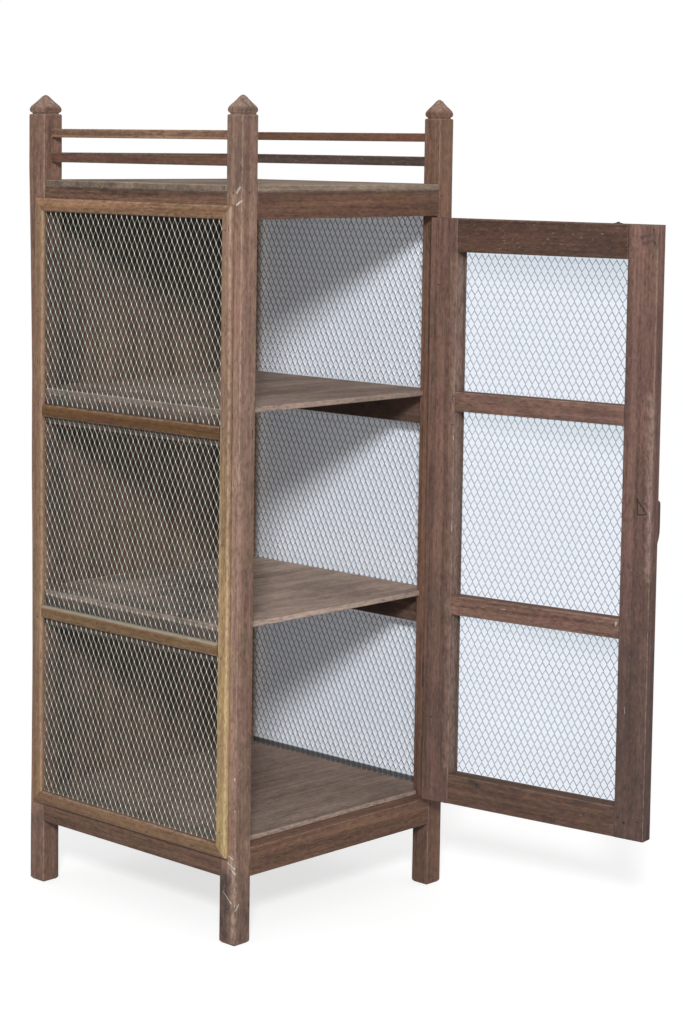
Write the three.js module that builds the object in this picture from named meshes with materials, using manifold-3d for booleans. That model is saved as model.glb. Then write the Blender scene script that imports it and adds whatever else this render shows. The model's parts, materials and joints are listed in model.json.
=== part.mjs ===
// Pie safe: a tall food cupboard with mesh sides, a mesh door and a low gallery round its top.
// Millimetres, +Z up. The origin is the centre of the front-left foot's underside.
// +X runs to the right along the front and +Y runs to the back, so the front faces -Y.
// The door stands open, turned about its hinge pins, as it does in daily use.

import * as THREE from 'three';
import { mergeVertices } from 'three/addons/utils/BufferGeometryUtils.js';
import Module from 'manifold-3d';

// Overall sizes
const width = 560;
const depth = 560;
const height = 1503;

// Corner posts, each carved from one square length with its finial
const post = 39;
const postArris = 2;
const footChamfer = 3;
const finialHeight = 35;
const galleryHeight = 122;

// Rails of the frame, tenoned into the posts
const legHeight = 121;
const bottomRailHeight = 52;
const topRailHeight = 48;
const railThickness = 26;
const frontRailThickness = 34;
const bearerHeight = 56;
const bearerThickness = 22;
const tenonLength = 18;
const tenonThickness = 10;
const tenonShoulder = 6;
const timberArris = 1.2;

// Boards
const topBoardThickness = 11;
const shelfThickness = 10;
const floorThickness = 9;
const backBoardThickness = 12;
const boardArris = 1;
const boardGap = 1;
const bottomBayHeight = 389;
const topBayHeight = 332;
const shelfToDoor = 2;

// Gallery rails, let whole into the posts
const galleryRailThickness = 12;
const galleryLowerHeight = 18;
const galleryUpperHeight = 16;
const galleryLowerRise = 33;
const galleryUpperRise = 79;
const galleryStub = 12;
const galleryArris = 1;

// Wire mesh panels and the mouldings that hold them
const meshThickness = 1;
const meshStrand = 3.2;
const meshRim = 3;
const meshLap = 12;
const sideMeshColumns = 6;
const sideMeshRows = 8;
const doorMeshColumns = 5;
const doorMeshRows = 7;
const mouldingWidth = 25;
const mouldingHeight = 9;
const mouldingEdge = 4.5;
const mouldingReveal = 3;
const mouldingSteps = 8;
const crossDrop = 4;

// Door
const doorThickness = 28;
const doorHingeGap = 3;
const doorLockGap = 7;
const doorTopGap = 2.5;
const doorBottomGap = 7;
const doorOpenDegrees = 98;
const stileWidth = 59;
const doorTopRailHeight = 62;
const doorBottomRailHeight = 56;
const doorBarHeight = 36;
const lowerBarDrop = 11;
const upperBarDrop = 11;
const doorTenonLength = 30;

// Pull handle on the door's outer face
const handleLength = 118;
const handleWidth = 18;
const handleProud = 21;
const handleInset = 15;
const handleRise = 567;
const handleRound = 3;
const handleCurveSteps = 8;

// Butt hinges
const hingeLength = 50;
const hingeLeaf = 1.8;
const hingeLeafDepth = 20;
const hingeLeafApart = 0.6;
const knuckleRadius = 3.5;
const knuckleStandOff = 0.5;
const knuckleApart = 0.4;
const knuckleCount = 3;
const pinRadius = 1.8;
const pinFit = 0.15;
const pinHeadRadius = 2.8;
const pinHeadHeight = 1.6;
const lowerHingeRise = 205;
const upperHingeDrop = 198.5;

// Ball catch in the door's top edge
const catchFromFreeEdge = 87;
const ballRadius = 5;
const ballSunk = 1.5;
const ballTravel = 3.5;
const ballFit = 0.3;
const barrelWall = 1.2;
const barrelFlangeRadius = 8;
const barrelFlange = 0.8;
const lipRadius = 4.5;
const strikeRadius = 6;
const strikeDepth = 1.8;

// Clearances and the detail of round shapes
const fit = 0.3;
const notchFit = 0.5;
const overrun = 1;
const cornerSteps = 5;
const roundSteps = 24;
const ballRings = 12;

// Worked-out places of the frame
const left = -post / 2;
const right = left + width;
const front = -post / 2;
const back = front + depth;
const innerLeft = left + post;
const innerRight = right - post;
const innerFront = front + post;
const innerBack = back - post;
const midX = (left + right) / 2;
const midY = (front + back) / 2;
const bottomRailTop = legHeight + bottomRailHeight;
const floorTop = bottomRailTop + floorThickness;
const shoulder = height - finialHeight;
const boardTop = shoulder - galleryHeight;
const topRailTop = boardTop - topBoardThickness;
const topRailBottom = topRailTop - topRailHeight;
const lowerShelfTop = floorTop + bottomBayHeight;
const upperShelfTop = topRailBottom - topBayHeight;
const shelfFront = front + doorThickness + shelfToDoor;
const shelfBack = back - backBoardThickness - notchFit;

// Worked-out places of the door, shut, about the axis of its hinge pins
const pinX = innerRight - doorHingeGap / 2;
const pinY = front - knuckleRadius - knuckleStandOff;
const doorWidth = innerRight - innerLeft - doorHingeGap - doorLockGap;
const doorHingeEdge = -doorHingeGap / 2;
const doorFreeEdge = doorHingeEdge - doorWidth;
const doorOuter = front - pinY;
const doorInner = doorOuter + doorThickness;
const doorTop = topRailBottom - doorTopGap;
const doorBottom = bottomRailTop + doorBottomGap;
const doorOpenLeft = doorFreeEdge + stileWidth;
const doorOpenRight = doorHingeEdge - stileWidth;
const doorOpenTop = doorTop - doorTopRailHeight;
const doorOpenBottom = doorBottom + doorBottomRailHeight;
const lowerBarCentre = lowerShelfTop - lowerBarDrop;
const upperBarCentre = upperShelfTop - upperBarDrop;

const X = new THREE.Vector3(1, 0, 0);
const Y = new THREE.Vector3(0, 1, 0);
const Z = new THREE.Vector3(0, 0, 1);
const minusX = X.clone().negate();
const minusY = Y.clone().negate();
const minusZ = Z.clone().negate();

const wasm = await Module();
wasm.setup();

// A three.js geometry as a solid that can be joined and cut
function solid(geometry) {
  const bare = geometry.clone();
  bare.deleteAttribute('normal');
  bare.deleteAttribute('uv');
  const merged = mergeVertices(bare);
  return new wasm.Manifold(new wasm.Mesh({
    numProp: 3,
    vertProperties: merged.attributes.position.array,
    triVerts: new Uint32Array(merged.index.array),
  }));
}

// The solid as a three.js geometry again
function surface(body) {
  const mesh = body.getMesh();
  const geometry = new THREE.BufferGeometry();
  geometry.setAttribute('position', new THREE.BufferAttribute(mesh.vertProperties, mesh.numProp));
  geometry.setIndex(new THREE.BufferAttribute(mesh.triVerts, 1));
  geometry.computeVertexNormals();
  return geometry;
}

const cutAway = (body, cuts) => cuts.reduce((rest, cut) => rest.subtract(cut), body);

// A geometry drawn in u and v, and extruded along w, turned to stand on a face of the cupboard
function stood(geometry, u, v, origin) {
  const w = new THREE.Vector3().crossVectors(u, v);
  return geometry.applyMatrix4(new THREE.Matrix4().makeBasis(u, v, w).setPosition(origin));
}

// A plain box between two corners
function box(low, high) {
  const size = high.clone().sub(low);
  const centre = low.clone().add(high).divideScalar(2);
  return solid(new THREE.BoxGeometry(size.x, size.y, size.z).translate(centre.x, centre.y, centre.z));
}

const at = (x, y, z) => new THREE.Vector3(x, y, z);

// A length of timber between two corners, its four long arrises eased by a small chamfer
const crossAxes = { x: [Y, Z, X], y: [Z, X, Y], z: [X, Y, Z] };
function timber(along, low, high, arris) {
  const [u, v, w] = crossAxes[along];
  const size = high.clone().sub(low);
  const a = size.dot(u);
  const b = size.dot(v);
  const outline = new THREE.Shape();
  outline.moveTo(arris, 0);
  outline.lineTo(a - arris, 0);
  outline.lineTo(a, arris);
  outline.lineTo(a, b - arris);
  outline.lineTo(a - arris, b);
  outline.lineTo(arris, b);
  outline.lineTo(0, b - arris);
  outline.lineTo(0, arris);
  const length = size.dot(w);
  return stood(new THREE.ExtrudeGeometry(outline, { depth: length, bevelEnabled: false }), u, v, low);
}

// A flat board from its plan outline, all its edges eased
function board(points, bottom, top) {
  const geometry = new THREE.ExtrudeGeometry(new THREE.Shape(points), {
    depth: top - bottom - 2 * boardArris,
    bevelThickness: boardArris,
    bevelSize: boardArris,
    bevelOffset: -boardArris,
    bevelSegments: 1,
  });
  return geometry.translate(0, 0, bottom + boardArris);
}

// A rail with a tenon at each end. What its tenons need cut out of the posts goes into the list.
// seat is the gap left at each shoulder, and shift moves the tenon off the middle of the thickness.
function rail(along, low, high, tenon, mortises) {
  const axis = crossAxes[along][2];
  const across = along === 'x' ? Y : X;
  const middle = low.clone().add(high).dot(across) / 2;
  const seat = tenon.seat ?? 0;
  const lowEnd = low.dot(axis) + seat;
  const highEnd = high.dot(axis) - seat;
  const corner = (end, side, z) => axis.clone().multiplyScalar(end)
    .addScaledVector(across, middle + side).setZ(z);
  const bodyLow = low.clone().addScaledVector(axis, seat);
  const bodyHigh = high.clone().addScaledVector(axis, -seat);
  let body = solid(timber(along, bodyLow, bodyHigh, tenon.arris));
  const zLow = low.z + tenon.shoulder;
  const zHigh = high.z - tenon.shoulder;
  for (const [root, way] of [[lowEnd, -1], [highEnd, 1]]) {
    const tip = root + way * tenon.length;
    const inside = root - way * overrun;
    const ends = [Math.min(tip, inside), Math.max(tip, inside)];
    body = body.add(box(corner(ends[0], -tenon.thickness / 2, zLow),
      corner(ends[1], tenon.thickness / 2, zHigh)));
    const deep = tip + way * fit;
    const mouth = root - way * (seat + overrun);
    const cut = [Math.min(deep, mouth), Math.max(deep, mouth)];
    mortises.push(box(corner(cut[0], -tenon.thickness / 2 - fit, zLow - fit),
      corner(cut[1], tenon.thickness / 2 + fit, zHigh + fit)));
  }
  return body;
}

// Each piece has its own material, in the colours of old unfinished hardwood and zinced wire
const finishes = {
  post: { color: 0x76594b, roughness: 0.82, metalness: 0 },
  rail: { color: 0x705245, roughness: 0.84, metalness: 0 },
  moulding: { color: 0x8c6c4c, roughness: 0.8, metalness: 0 },
  board: { color: 0x7c6c5e, roughness: 0.88, metalness: 0 },
  backing: { color: 0x5d463c, roughness: 0.9, metalness: 0 },
  door: { color: 0x6b5044, roughness: 0.83, metalness: 0 },
  wire: { color: 0x9aa39c, roughness: 0.5, metalness: 0.8 },
  iron: { color: 0x4b4742, roughness: 0.6, metalness: 0.7 },
};

const cabinet = new THREE.Group();
const door = new THREE.Group();
door.position.set(pinX, pinY, 0);
door.rotation.z = THREE.MathUtils.degToRad(doorOpenDegrees);

function addPiece(group, name, geometry, finish) {
  const piece = new THREE.Mesh(geometry, new THREE.MeshStandardMaterial(finishes[finish]));
  piece.name = name;
  group.add(piece);
}

// Frame rails. The side rails lie flush with the posts' outer faces, where the mesh is nailed.
const postCuts = [];
const frameTenon = {
  arris: timberArris, length: tenonLength, thickness: tenonThickness, shoulder: tenonShoulder,
};
const sides = { left: [left, 1, minusX], right: [right, -1, X] };

function sideRail(outer, inwards, bottom, railHeight, thickness, tenon) {
  const inner = outer + inwards * thickness;
  const low = at(Math.min(outer, inner), innerFront, bottom);
  const high = at(Math.max(outer, inner), innerBack, bottom + railHeight);
  return surface(rail('y', low, high, tenon, postCuts));
}

for (const [side, [outer, inwards]] of Object.entries(sides)) {
  addPiece(cabinet, `bottom_rail_${side}`,
    sideRail(outer, inwards, legHeight, bottomRailHeight, railThickness, frameTenon), 'rail');
  addPiece(cabinet, `top_rail_${side}`,
    sideRail(outer, inwards, topRailBottom, topRailHeight, railThickness, frameTenon), 'rail');
  for (const [name, shelfTop] of [['lower', lowerShelfTop], ['upper', upperShelfTop]]) {
    const bearerBottom = shelfTop - shelfThickness - bearerHeight;
    addPiece(cabinet, `bearer_${name}_${side}`,
      sideRail(outer, inwards, bearerBottom, bearerHeight, bearerThickness, frameTenon), 'rail');
  }
}

function crossRail(outer, thickness, bottom, railHeight) {
  const low = at(innerLeft, outer, bottom);
  const high = at(innerRight, outer + thickness, bottom + railHeight);
  return rail('x', low, high, frameTenon, postCuts);
}

// The header over the door has a worn hollow where the catch's ball rests with the door shut
const catchX = doorFreeEdge + catchFromFreeEdge;
const catchY = doorOuter + doorThickness / 2;
const strike = solid(new THREE.CylinderGeometry(strikeRadius, strikeRadius, strikeDepth + overrun, roundSteps)
  .rotateX(Math.PI / 2)
  .translate(pinX + catchX, pinY + catchY, topRailBottom + (strikeDepth - overrun) / 2));
const backRailFront = back - backBoardThickness - railThickness;
const header = crossRail(front, railThickness, topRailBottom, topRailHeight).subtract(strike);
addPiece(cabinet, 'header_front', surface(header), 'rail');
addPiece(cabinet, 'bottom_rail_front',
  surface(crossRail(front, frontRailThickness, legHeight, bottomRailHeight)), 'rail');
addPiece(cabinet, 'top_rail_back',
  surface(crossRail(backRailFront, railThickness, topRailBottom, topRailHeight)), 'rail');
addPiece(cabinet, 'bottom_rail_back',
  surface(crossRail(backRailFront, railThickness, legHeight, bottomRailHeight)), 'rail');

// Gallery rails on the left, the back and the right. The front of the top is open.
const galleryTenon = {
  arris: galleryArris, length: galleryStub, thickness: galleryRailThickness, shoulder: 0,
};
const galleryInset = (post - galleryRailThickness) / 2;
for (const [level, rise, railHeight] of [
  ['lower', galleryLowerRise, galleryLowerHeight],
  ['upper', galleryUpperRise, galleryUpperHeight],
]) {
  const bottom = boardTop + rise;
  for (const [side, [outer, inwards]] of Object.entries(sides)) {
    addPiece(cabinet, `gallery_${side}_${level}`,
      sideRail(outer + inwards * galleryInset, inwards, bottom, railHeight, galleryRailThickness,
        galleryTenon), 'rail');
  }
  const low = at(innerLeft, back - galleryInset - galleryRailThickness, bottom);
  const high = at(innerRight, back - galleryInset, bottom + railHeight);
  addPiece(cabinet, `gallery_back_${level}`, surface(rail('x', low, high, galleryTenon, postCuts)), 'rail');
}

// Posts: rounded-square sections lofted from the chamfered foot to the carved finial.
// Each finial row gives its half width as a share of the post's half, the height above the
// shoulder as a share of the finial's height, and the corner radius as a share of the half width.
const finialShares = [
  [0.8, 0.015, 0.2],
  [0.8, 0.065, 0.2],
  [0.9, 0.11, 0.22],
  [0.96, 0.17, 0.24],
  [0.99, 0.25, 0.26],
  [0.985, 0.33, 0.3],
  [0.92, 0.43, 0.34],
  [0.8, 0.53, 0.4],
  [0.62, 0.66, 0.5],
  [0.45, 0.79, 0.62],
  [0.32, 0.9, 0.75],
  [0.22, 0.965, 0.85],
  [0.12, 1, 0.95],
];

function roundedSquare(half, radius, z) {
  const ring = [];
  for (let corner = 0; corner < 4; corner += 1) {
    const turn = corner * Math.PI / 2;
    for (let step = 0; step <= cornerSteps; step += 1) {
      const angle = turn + (step / cornerSteps) * Math.PI / 2;
      const centre = (half - radius) * Math.SQRT2;
      const toCentre = turn + Math.PI / 4;
      ring.push(at(centre * Math.cos(toCentre) + radius * Math.cos(angle),
        centre * Math.sin(toCentre) + radius * Math.sin(angle), z));
    }
  }
  return ring;
}

function loft(rings) {
  const count = rings[0].length;
  const points = rings.flat();
  const foot = points.length;
  points.push(at(0, 0, rings[0][0].z), at(0, 0, rings[rings.length - 1][0].z));
  const triangles = [];
  for (let i = 0; i < count; i += 1) {
    const next = (i + 1) % count;
    for (let row = 0; row < rings.length - 1; row += 1) {
      const low = row * count;
      const high = low + count;
      triangles.push(low + i, low + next, high + next, low + i, high + next, high + i);
    }
    const top = (rings.length - 1) * count;
    triangles.push(foot, next, i, foot + 1, top + i, top + next);
  }
  const geometry = new THREE.BufferGeometry().setFromPoints(points);
  geometry.setIndex(triangles);
  return geometry;
}

function postShape() {
  const half = post / 2;
  const rings = [
    roundedSquare(half - footChamfer, postArris, 0),
    roundedSquare(half, postArris, footChamfer),
    roundedSquare(half, postArris, shoulder - postArris),
    roundedSquare(half - postArris, postArris, shoulder),
  ];
  for (const [widthShare, heightShare, cornerShare] of finialShares) {
    const ringHalf = half * widthShare;
    rings.push(roundedSquare(ringHalf, ringHalf * cornerShare, shoulder + finialHeight * heightShare));
  }
  return loft(rings);
}

// Each leaf of a butt hinge lies in a shallow pocket, on the post and on the door's hinge edge
const hingeBottoms = { lower: doorBottom + lowerHingeRise, upper: doorTop - upperHingeDrop - hingeLength };
const leafInner = hingeLeafApart / 2;
const leafOuter = leafInner + hingeLeaf;
const leafEnd = doorOuter + hingeLeafDepth;

function leafPocket(way, bottom, originX, originY) {
  const face = way * (doorHingeGap / 2 - overrun);
  const floor = way * (leafOuter + fit);
  const low = at(originX + Math.min(face, floor), originY + doorOuter - overrun, bottom - fit);
  const high = at(originX + Math.max(face, floor), originY + leafEnd + fit, bottom + hingeLength + fit);
  return box(low, high);
}

for (const bottom of Object.values(hingeBottoms)) {
  postCuts.push(leafPocket(1, bottom, pinX, pinY));
}

const postSolid = solid(postShape());
const postPlaces = {
  front_left: [left + post / 2, front + post / 2],
  front_right: [right - post / 2, front + post / 2],
  back_left: [left + post / 2, back - post / 2],
  back_right: [right - post / 2, back - post / 2],
};
for (const [name, [x, y]] of Object.entries(postPlaces)) {
  addPiece(cabinet, `post_${name}`, surface(cutAway(postSolid.translate([x, y, 0]), postCuts)), 'post');
}

// Shelves and floor: boards that rest on the side rails, reach the mesh and are notched round the posts
function shelfOutline() {
  const nearLeft = innerLeft + notchFit;
  const nearRight = innerRight - notchFit;
  const frontNotch = innerFront + notchFit;
  const backNotch = innerBack - notchFit;
  return [
    [nearLeft, shelfFront], [nearRight, shelfFront], [nearRight, frontNotch], [right, frontNotch],
    [right, backNotch], [nearRight, backNotch], [nearRight, shelfBack], [nearLeft, shelfBack],
    [nearLeft, backNotch], [left, backNotch], [left, frontNotch], [nearLeft, frontNotch],
  ].map(([x, y]) => new THREE.Vector2(x, y));
}

addPiece(cabinet, 'floor_board', board(shelfOutline(), bottomRailTop, floorTop), 'board');
for (const [name, shelfTop] of [['lower', lowerShelfTop], ['upper', upperShelfTop]]) {
  addPiece(cabinet, `shelf_${name}`, board(shelfOutline(), shelfTop - shelfThickness, shelfTop), 'board');
}

// The top is two wide boards, laid on the top rails and notched round the posts
function topOutline(outer, inwards) {
  const notch = outer + inwards * (post + notchFit);
  const middle = midY - inwards * boardGap / 2;
  return [
    [innerLeft + notchFit, outer], [innerRight - notchFit, outer], [innerRight - notchFit, notch],
    [right, notch], [right, middle], [left, middle], [left, notch], [innerLeft + notchFit, notch],
  ].map(([x, y]) => new THREE.Vector2(x, y));
}

addPiece(cabinet, 'top_board_front', board(topOutline(front, 1), topRailTop, boardTop), 'board');
addPiece(cabinet, 'top_board_back', board(topOutline(back, -1).reverse(), topRailTop, boardTop), 'board');

// Two upright boards close the back, nailed to the back rails between the posts
for (const [name, from, to] of [['left', innerLeft + fit, midX - boardGap / 2],
  ['right', midX + boardGap / 2, innerRight - fit]]) {
  const low = at(from, back - backBoardThickness, legHeight);
  const high = at(to, back, topRailTop - fit);
  addPiece(cabinet, `back_board_${name}`, timber('z', low, high, boardArris), 'backing');
}

// Wire mesh: a flat sheet slit and drawn out into upright diamonds, whole along its rim
function meshPanel(sheetWidth, sheetHeight, columns, rows) {
  const a = sheetWidth / columns / 2;
  const b = sheetHeight / rows / 2;
  const scale = 1 - (meshStrand / 2) * Math.hypot(1 / a, 1 / b);
  const diamonds = [];
  for (let i = 0; i <= 2 * columns; i += 1) {
    for (let j = i % 2; j <= 2 * rows; j += 2) {
      diamonds.push(new THREE.Shape([[-1, 0], [0, -1], [1, 0], [0, 1]]
        .map(([u, v]) => new THREE.Vector2((i + u * scale) * a, (j + v * scale) * b))));
    }
  }
  const through = new THREE.ExtrudeGeometry(diamonds, {
    depth: meshThickness + 2 * overrun,
    bevelEnabled: false,
  });
  const holes = solid(through.translate(0, 0, -overrun)).intersect(box(at(meshRim, meshRim, -overrun),
    at(sheetWidth - meshRim, sheetHeight - meshRim, meshThickness + overrun)));
  return surface(box(at(0, 0, 0), at(sheetWidth, sheetHeight, meshThickness)).subtract(holes));
}

// Moulding: a strip with a rounded face. Its ends are mitred where mitre is 1 and square where it is 0.
// short is what the strip's length falls short of the opening's side, or how far it laps, if negative.
function moulding(length, mitre, short) {
  const outline = new THREE.Shape();
  outline.moveTo(0, 0);
  outline.lineTo(mouldingWidth, 0);
  for (let step = 0; step <= mouldingSteps; step += 1) {
    const angle = (step / mouldingSteps) * Math.PI;
    outline.lineTo((1 + Math.cos(angle)) * mouldingWidth / 2,
      mouldingEdge + Math.sin(angle) * (mouldingHeight - mouldingEdge));
  }
  const geometry = new THREE.ExtrudeGeometry(outline, { depth: 1, bevelEnabled: false });
  const place = geometry.attributes.position;
  for (let i = 0; i < place.count; i += 1) {
    const span = length - 2 * short + 2 * mitre * place.getX(i);
    place.setZ(i, (place.getZ(i) - 1 / 2) * span);
  }
  return geometry;
}

// Mesh and mouldings of both sides. across is the strip's outward side and out is away from the cupboard.
const crossShort = fit;
const mitreShort = fit / 2;
const sideOpen = { low: floorTop, high: topRailBottom, middle: (floorTop + topRailBottom) / 2 };
for (const [side, [outer, , out]] of Object.entries(sides)) {
  const u = new THREE.Vector3().crossVectors(Z, out);
  const sheetWidth = innerBack - innerFront + 2 * meshLap;
  const sheetHeight = sideOpen.high - sideOpen.low + 2 * meshLap;
  const sheetCorner = at(outer, midY - u.y * sheetWidth / 2, sideOpen.low - meshLap);
  addPiece(cabinet, `mesh_${side}`,
    stood(meshPanel(sheetWidth, sheetHeight, sideMeshColumns, sideMeshRows), u, Z, sheetCorner), 'wire');

  const face = outer + out.x * meshThickness;
  const tall = sideOpen.high - sideOpen.low;
  const wide = innerBack - innerFront - 2 * mouldingReveal;
  const crossBottom = (shelfTop) => shelfTop - shelfThickness
    - (bearerHeight + mouldingWidth) / 2 - crossDrop;
  const strips = {
    top: [wide, 1, mitreShort, Z, at(face, midY, sideOpen.high)],
    bottom: [wide, 1, mitreShort, minusZ, at(face, midY, sideOpen.low)],
    front: [tall, 1, mitreShort, minusY, at(face, innerFront + mouldingReveal, sideOpen.middle)],
    back: [tall, 1, mitreShort, Y, at(face, innerBack - mouldingReveal, sideOpen.middle)],
    cross_lower: [wide, 0, crossShort, Z, at(face, midY, crossBottom(lowerShelfTop))],
    cross_upper: [wide, 0, crossShort, Z, at(face, midY, crossBottom(upperShelfTop))],
  };
  for (const [name, [length, mitre, short, across, origin]] of Object.entries(strips)) {
    addPiece(cabinet, `moulding_${side}_${name}`, stood(moulding(length, mitre, short), across, out, origin),
      'moulding');
  }
}

// Door, drawn shut about the hinge axis and turned open as one group.
// Its rails and bars are tenoned into the stiles.
const stileCuts = Object.values(hingeBottoms).map((bottom) => leafPocket(-1, bottom, 0, 0));
const doorTenon = {
  arris: timberArris, length: doorTenonLength, thickness: tenonThickness, shoulder: tenonShoulder, seat: fit,
};
const doorRails = {
  door_top_rail: [doorOpenTop, doorTop],
  door_bottom_rail: [doorBottom, doorOpenBottom],
  door_bar_lower: [lowerBarCentre - doorBarHeight / 2, lowerBarCentre + doorBarHeight / 2],
  door_bar_upper: [upperBarCentre - doorBarHeight / 2, upperBarCentre + doorBarHeight / 2],
};
const barrelRadius = ballRadius + ballFit + barrelWall;
const ballCentre = doorTop - ballSunk;
const barrelBottom = ballCentre - ballTravel - ballRadius - ballFit - barrelWall;
const barrelBore = solid(new THREE.CylinderGeometry(barrelRadius + fit, barrelRadius + fit,
  doorTop - barrelBottom + fit + overrun, roundSteps)
  .rotateX(Math.PI / 2)
  .translate(catchX, catchY, (doorTop + overrun + barrelBottom - fit) / 2));
for (const [name, [bottom, top]] of Object.entries(doorRails)) {
  const low = at(doorOpenLeft, doorOuter, bottom);
  const high = at(doorOpenRight, doorInner, top);
  let body = rail('x', low, high, doorTenon, stileCuts);
  if (name === 'door_top_rail') body = body.subtract(barrelBore);
  addPiece(door, name, surface(body), 'door');
}

for (const [name, from, to] of [['door_hinge_stile', doorOpenRight, doorHingeEdge],
  ['door_lock_stile', doorFreeEdge, doorOpenLeft]]) {
  const stile = solid(timber('z', at(from, doorOuter, doorBottom), at(to, doorInner, doorTop), timberArris));
  addPiece(door, name, surface(cutAway(stile, stileCuts)), 'door');
}

// The door's mesh lies on its outer face, under one frame of mitred mouldings with two cross strips
const doorOpenWidth = doorOpenRight - doorOpenLeft;
const doorOpenHeight = doorOpenTop - doorOpenBottom;
const doorOpenMiddleX = (doorOpenLeft + doorOpenRight) / 2;
const doorOpenMiddleZ = (doorOpenTop + doorOpenBottom) / 2;
const doorSheet = meshPanel(doorOpenWidth + 2 * meshLap, doorOpenHeight + 2 * meshLap,
  doorMeshColumns, doorMeshRows);
addPiece(door, 'door_mesh', stood(doorSheet, X, Z,
  at(doorOpenLeft - meshLap, doorOuter - fit, doorOpenBottom - meshLap)), 'wire');

const doorFace = doorOuter - 2 * fit - meshThickness;
const crossLap = -mouldingWidth / 2;
const mitreLap = -fit / 2;
const doorStrips = [
  [doorOpenWidth, 1, mitreLap, Z, at(doorOpenMiddleX, doorFace, doorOpenTop)],
  [doorOpenWidth, 1, mitreLap, minusZ, at(doorOpenMiddleX, doorFace, doorOpenBottom)],
  [doorOpenHeight, 1, mitreLap, minusX, at(doorOpenLeft, doorFace, doorOpenMiddleZ)],
  [doorOpenHeight, 1, mitreLap, X, at(doorOpenRight, doorFace, doorOpenMiddleZ)],
  [doorOpenWidth, 0, crossLap, Z, at(doorOpenMiddleX, doorFace, lowerBarCentre - mouldingWidth / 2)],
  [doorOpenWidth, 0, crossLap, Z, at(doorOpenMiddleX, doorFace, upperBarCentre - mouldingWidth / 2)],
];
const doorMoulding = doorStrips
  .map(([length, mitre, short, across, origin]) => {
    const strip = moulding(length, mitre, short);
    return solid(stood(strip, across, minusY, origin));
  })
  .reduce((joined, strip) => joined.add(strip));
addPiece(door, 'door_moulding', surface(doorMoulding), 'moulding');

// A carved wooden pull near the free edge. An ogee rises steeply at its top to a short flat grip and
// falls away gently below. The shares are of half the pull's length, and foot is of its reach.
const handleShares = { rise: 0.3, gripTop: 0.66, gripLow: -0.06, fall: 0.5, foot: 0.08 };
function handleShape() {
  const half = handleLength / 2 - handleRound;
  const reach = handleProud - handleRound;
  const foot = handleProud * handleShares.foot + handleRound;
  const outline = new THREE.Shape();
  outline.moveTo(-half, handleRound);
  outline.lineTo(half, handleRound);
  outline.lineTo(half, foot);
  outline.bezierCurveTo(half * (1 - handleShares.rise), foot,
    half * (1 - handleShares.rise / 2), reach, half * handleShares.gripTop, reach);
  outline.lineTo(half * handleShares.gripLow, reach);
  outline.bezierCurveTo(-half * (1 - handleShares.fall), reach,
    -half * (1 - handleShares.fall), foot, -half, foot);
  const geometry = new THREE.ExtrudeGeometry(outline, {
    depth: handleWidth - 2 * handleRound,
    bevelThickness: handleRound,
    bevelSize: handleRound,
    bevelSegments: 2,
    curveSegments: handleCurveSteps,
  });
  return geometry.translate(0, 0, handleRound - handleWidth / 2);
}
addPiece(door, 'door_handle', stood(handleShape(), Z, minusY,
  at(doorFreeEdge + handleInset, doorOuter - fit, doorBottom + handleRise)), 'door');

// Ball catch: a flanged brass barrel let into the top rail, with a lip that keeps the ball in
function barrelProfile() {
  const inner = ballRadius + ballFit;
  const flangeBottom = doorTop + fit;
  const flangeTop = flangeBottom + barrelFlange;
  return [
    [0, barrelBottom], [barrelRadius, barrelBottom], [barrelRadius, flangeBottom],
    [barrelFlangeRadius, flangeBottom], [barrelFlangeRadius, flangeTop], [lipRadius, flangeTop],
    [lipRadius, flangeBottom + barrelFlange / 2], [inner, flangeBottom], [inner, barrelBottom + barrelWall],
    [0, barrelBottom + barrelWall],
  ].map(([r, z]) => new THREE.Vector2(r, z));
}
const turned = (profile) => new THREE.LatheGeometry(profile, roundSteps).rotateX(Math.PI / 2);
addPiece(door, 'catch_barrel', turned(barrelProfile()).translate(catchX, catchY, 0), 'iron');
addPiece(door, 'catch_ball', new THREE.SphereGeometry(ballRadius, roundSteps, ballRings)
  .translate(catchX, catchY, ballCentre), 'iron');

// Butt hinges: the frame leaf has the outer knuckles and the door leaf the middle one
const knucklePitch = hingeLength / knuckleCount;
function knuckle(index, radius, grow) {
  const length = knucklePitch - knuckleApart + 2 * grow;
  return solid(new THREE.CylinderGeometry(radius, radius, length, roundSteps)
    .rotateX(Math.PI / 2)
    .translate(0, 0, (index + 1 / 2) * knucklePitch));
}

function hingeLeafShape(way, ownFirst) {
  const low = at(Math.min(way * leafInner, way * leafOuter), 0, 0);
  const high = at(Math.max(way * leafInner, way * leafOuter), leafEnd, hingeLength);
  let leaf = box(low, high);
  for (let index = 0; index < knuckleCount; index += 1) {
    const room = knuckle(index, knuckleRadius + knuckleApart, knuckleApart);
    if (index % 2 !== ownFirst) leaf = leaf.subtract(room);
  }
  for (let index = ownFirst; index < knuckleCount; index += 2) {
    leaf = leaf.add(knuckle(index, knuckleRadius, 0));
  }
  const bore = solid(new THREE.CylinderGeometry(pinRadius + pinFit, pinRadius + pinFit,
    hingeLength + 2 * overrun, roundSteps).rotateX(Math.PI / 2).translate(0, 0, hingeLength / 2));
  return leaf.subtract(bore);
}

const pinProfile = [
  [0, 0], [pinRadius, 0], [pinRadius, hingeLength + fit], [pinHeadRadius, hingeLength + fit],
  [pinHeadRadius, hingeLength + pinHeadHeight / 2], [pinRadius, hingeLength + pinHeadHeight],
  [0, hingeLength + pinHeadHeight],
].map(([r, z]) => new THREE.Vector2(r, z));

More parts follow.
